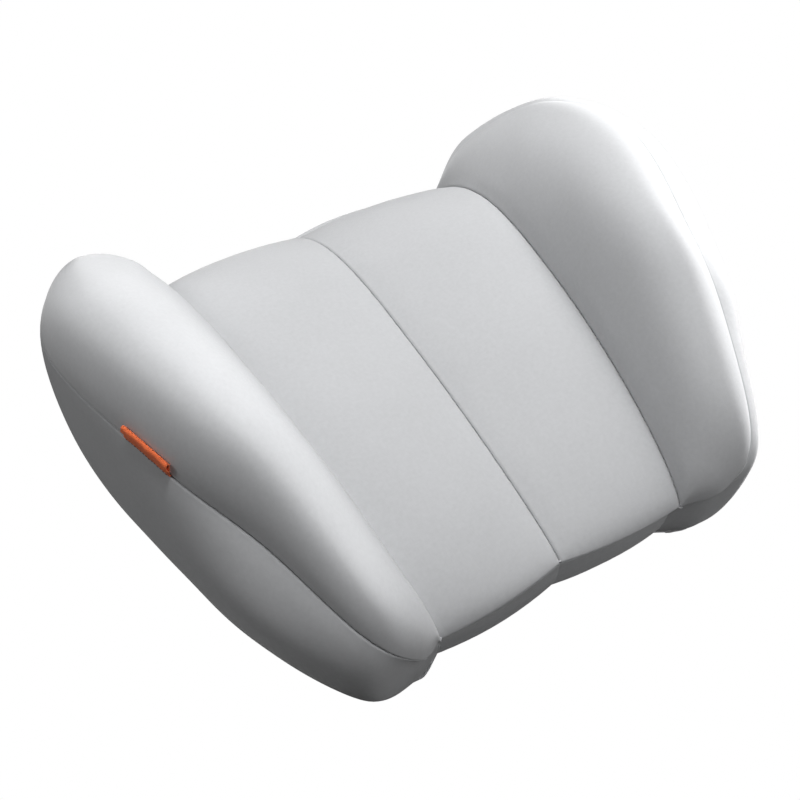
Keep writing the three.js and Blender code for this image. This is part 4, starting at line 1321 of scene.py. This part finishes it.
def softened(node, body, slot, material, width, name):
    """A CAD part with its edges rounded off by a small bevel."""
    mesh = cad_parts[node].data.copy()
    mesh.name = name
    work = bmesh.new()
    work.from_mesh(mesh)
    bmesh.ops.remove_doubles(work, verts=work.verts[:], dist=1e-6)
    flat = [
        edge for edge in work.edges if len(edge.link_faces) == 2 and edge.calc_face_angle(0) < FLAT_ANGLE
    ]
    bmesh.ops.dissolve_edges(work, edges=flat, use_verts=False)
    work.to_mesh(mesh)
    work.free()
    piece = bpy.data.objects.new(name, mesh)
    bpy.context.scene.collection.objects.link(piece)
    mesh.polygons.foreach_set("use_smooth", np.ones(len(mesh.polygons), bool))
    bevel = piece.modifiers.new("edges", "BEVEL")
    bevel.width = width * MM
    bevel.segments = 3
    bevel.limit_method = "ANGLE"
    bevel.angle_limit = math.radians(35)
    bevel.harden_normals = True
    give(piece, material)
    return rides(piece, body, slot, node)


for row in (
    ("buckle_socket", "cushion", "buckle_plastic", BUCKLE_PLASTIC, 0.45, "buckle_socket_shell"),
    ("buckle_plug", "buckle_plug", "buckle_plastic", BUCKLE_PLASTIC, 0.45, "buckle_plug_base"),
    ("buckle_prong_left", "prong_left", "buckle_plastic", BUCKLE_PLASTIC, 0.3, "buckle_prong_left_arm"),
    ("buckle_prong_right", "prong_right", "buckle_plastic", BUCKLE_PLASTIC, 0.3, "buckle_prong_right_arm"),
    ("strap_adjuster", "strap_adjuster", "buckle_plastic", BUCKLE_PLASTIC, 0.35, "strap_adjuster_frame"),
    ("zip_slider", "zip_slider", "zip_metal", ZIP_METAL, 0.2, "zip_slider_body"),
    ("zip_puller", "zip_puller", "zip_metal", ZIP_METAL, 0.22, "zip_puller_tab"),
    ("zip_stop_start", "cushion", "zip_metal", ZIP_METAL, 0.3, "zip_stop_start_clip"),
    ("zip_stop_end", "cushion", "zip_metal", ZIP_METAL, 0.3, "zip_stop_end_clip"),
):
    softened(*row)


# ---------------------------------------------------------------- loop tag

# The tag's middle along the seam, by t, and its sizes: how far it reaches up the wing, the ribbon's own
# thickness, the heights of its upper and lower sheet, and the flange sewn down beside the seam.
TAG_AT = 0.035
TAG_LENGTH = 32
TAG_REACH = 9.3
TAG_WALL = 0.7
TAG_RISE = 2.9
TAG_REST = 0.4
TAG_FLANGE = 1.25
TAG_SEWN = 3.6
TAG_ROUND = 1.5
TAG_STATIONS = 40
TAG_ROWS = 12


def at_lengths(line, lengths):
    """Points at these distances along a line."""
    run = np.r_[0, np.cumsum(np.linalg.norm(np.diff(line, axis=0), axis=1))]
    return np.stack([np.interp(lengths, run, line[:, k]) for k in range(3)], 1)


def tag_points():
    """A folded ribbon lying up the left wing from its outer seam: a flat loop carried along the seam.

    The loop leaves the seam close to the cloth, turns over in a half ellipse at its reach and comes
    back high, then falls by a smooth step to the flange that is sewn down beside the seam.
    """
    seam = sewn["wing_left"][0]
    run = np.r_[0, np.cumsum(np.linalg.norm(np.diff(seam, axis=0), axis=1))]
    middle = np.interp(TAG_AT, fine_on["rows"], run)
    along = middle + np.linspace(-0.5, 0.5, TAG_STATIONS) * TAG_LENGTH
    places = np.interp(along, run, np.arange(len(run)))
    low = np.floor(places).astype(int)
    share = (places - low)[:, None]
    surface, facing = sewn["wing_left"], normals["wing_left"]
    lower = np.linspace(-0.5, TAG_REACH - TAG_ROUND, 18)
    bend = np.linspace(-0.5, 0.5, 13)[1:-1] * math.pi
    upper = lower[::-1]
    out_along = np.r_[lower, TAG_REACH - TAG_ROUND + TAG_ROUND * np.cos(bend), upper]
    high = mix(TAG_FLANGE, TAG_RISE, smooth_step((upper - TAG_SEWN) / 2.4))
    middle_height = 0.5 * (TAG_RISE + TAG_REST)
    turned = middle_height + (TAG_RISE - middle_height) * np.sin(bend)
    height = np.r_[np.full(len(lower), TAG_REST), turned, high]
    points = []
    for station in range(TAG_STATIONS):
        here, after = low[station], low[station] + 1
        line, normal = (
            mix(grid[:TAG_ROWS, here], grid[:TAG_ROWS, after], share[station]) for grid in (surface, facing)
        )
        depth = np.r_[0, np.cumsum(np.linalg.norm(np.diff(line, axis=0), axis=1))]
        outwards = unit(np.stack([np.interp(out_along, depth, normal[:, k]) for k in range(3)], 1))
        base = at_lengths(line, np.clip(out_along, 0, None))
        start = unit(line[1] - line[0]) * np.minimum(out_along, 0)[:, None]
        across = 2 * station / (TAG_STATIONS - 1) - 1
        flare = 1 + 0.16 * across**4 + 0.05 * math.sin(station * 0.45)
        points.append(base + start + outwards * (height * flare)[:, None])
    return np.array(points)


tag = tag_points()
piece = thicken(give(add_grid("loop_tag_ribbon", tag), TAG_RIBBON), TAG_WALL)
rides(piece, "cushion", "tag_ribbon", "loop_tag")
flange_top, flange_bottom = tag[1:-1, -5], tag[1:-1, 4]
thread("loop_tag_thread", [(flange_top, unit(flange_top - flange_bottom), False)], 0.24, 1.5, 0.2, 2.1, 0.1)


# ---------------------------------------------------------------- floor, light and hand-over

# The floor's half width in metres and its gap under the cushion.
FLOOR_HALF = 3
FLOOR_GAP = 0.3
FLOOR_GREY = 0.12


def add_floor():
    """A wide floor that looks white from above and is clear from below, to show the underside."""
    signs = ((-1, -1), (1, -1), (1, 1), (-1, 1))
    mesh = bpy.data.meshes.new("floor")
    corners = [(x * FLOOR_HALF, y * FLOOR_HALF, -FLOOR_GAP * MM) for x, y in signs]
    mesh.from_pydata(corners, [], [(0, 1, 2, 3)])
    material, tree, shader = new_material("floor", Roughness=0.9)
    shader.inputs["Base Color"].default_value = (FLOOR_GREY, FLOOR_GREY, FLOOR_GREY, 1)
    facts = tree.nodes.new("ShaderNodeLightPath").outputs
    side = tree.nodes.new("ShaderNodeNewGeometry").outputs
    glow = tree.nodes.new("ShaderNodeEmission")
    glow.inputs["Strength"].default_value = 1
    clear = tree.nodes.new("ShaderNodeBsdfTransparent")
    seen = tree.nodes.new("ShaderNodeMixShader")
    whole = tree.nodes.new("ShaderNodeMixShader")
    set_input(tree, seen.inputs[0], facts["Is Camera Ray"])
    tree.links.new(shader.outputs[0], seen.inputs[1])
    tree.links.new(glow.outputs[0], seen.inputs[2])
    set_input(tree, whole.inputs[0], side["Backfacing"])
    tree.links.new(seen.outputs[0], whole.inputs[1])
    tree.links.new(clear.outputs[0], whole.inputs[2])
    tree.links.new(whole.outputs[0], tree.nodes["Material Output"].inputs["Surface"])
    floor = bpy.data.objects.new("floor", mesh)
    bpy.context.scene.collection.objects.link(floor)
    mesh.materials.append(material)


# In metres.
LIGHT_DISTANCE = 1.5
LIGHT_TARGET = Vector((0, 0, 0.05))


def add_light(name, azimuth, elevation, strength, size):
    """A square soft light aimed at the cushion; angles in degrees, strength in watts, size in metres."""
    light = bpy.data.lights.new(name, "AREA")
    light.energy = strength
    light.size = size
    lamp = bpy.data.objects.new(name, light)
    turn, lean = math.radians(azimuth), math.radians(elevation)
    way = Vector((math.cos(turn) * math.cos(lean), math.sin(turn) * math.cos(lean), math.sin(lean)))
    lamp.location = way * LIGHT_DISTANCE
    lamp.rotation_euler = (LIGHT_TARGET - lamp.location).to_track_quat("-Z", "Y").to_euler()
    bpy.context.scene.collection.objects.link(lamp)


add_floor()
WORLD_STRENGTH = 0.05
world = bpy.data.worlds.new("world")
world.use_nodes = True
background = world.node_tree.nodes["Background"]
background.inputs["Color"].default_value = (1, 1, 1, 1)
background.inputs["Strength"].default_value = WORLD_STRENGTH
bpy.context.scene.world = world

# Name, azimuth from x, elevation, strength and size.
LIGHTS = (
    ("back_right_light", 50, 50, 15, 0.6),
    ("low_right_light", 5, 6, 36, 0.5),
    ("top_light", 0, 85, 9, 0.4),
    ("back_left_light", 150, 40, 5, 0.6),
    ("front_light", -60, 50, 5, 0.6),
)
for light in LIGHTS:
    add_light(*light)
bpy.context.scene.view_settings.view_transform = "Standard"
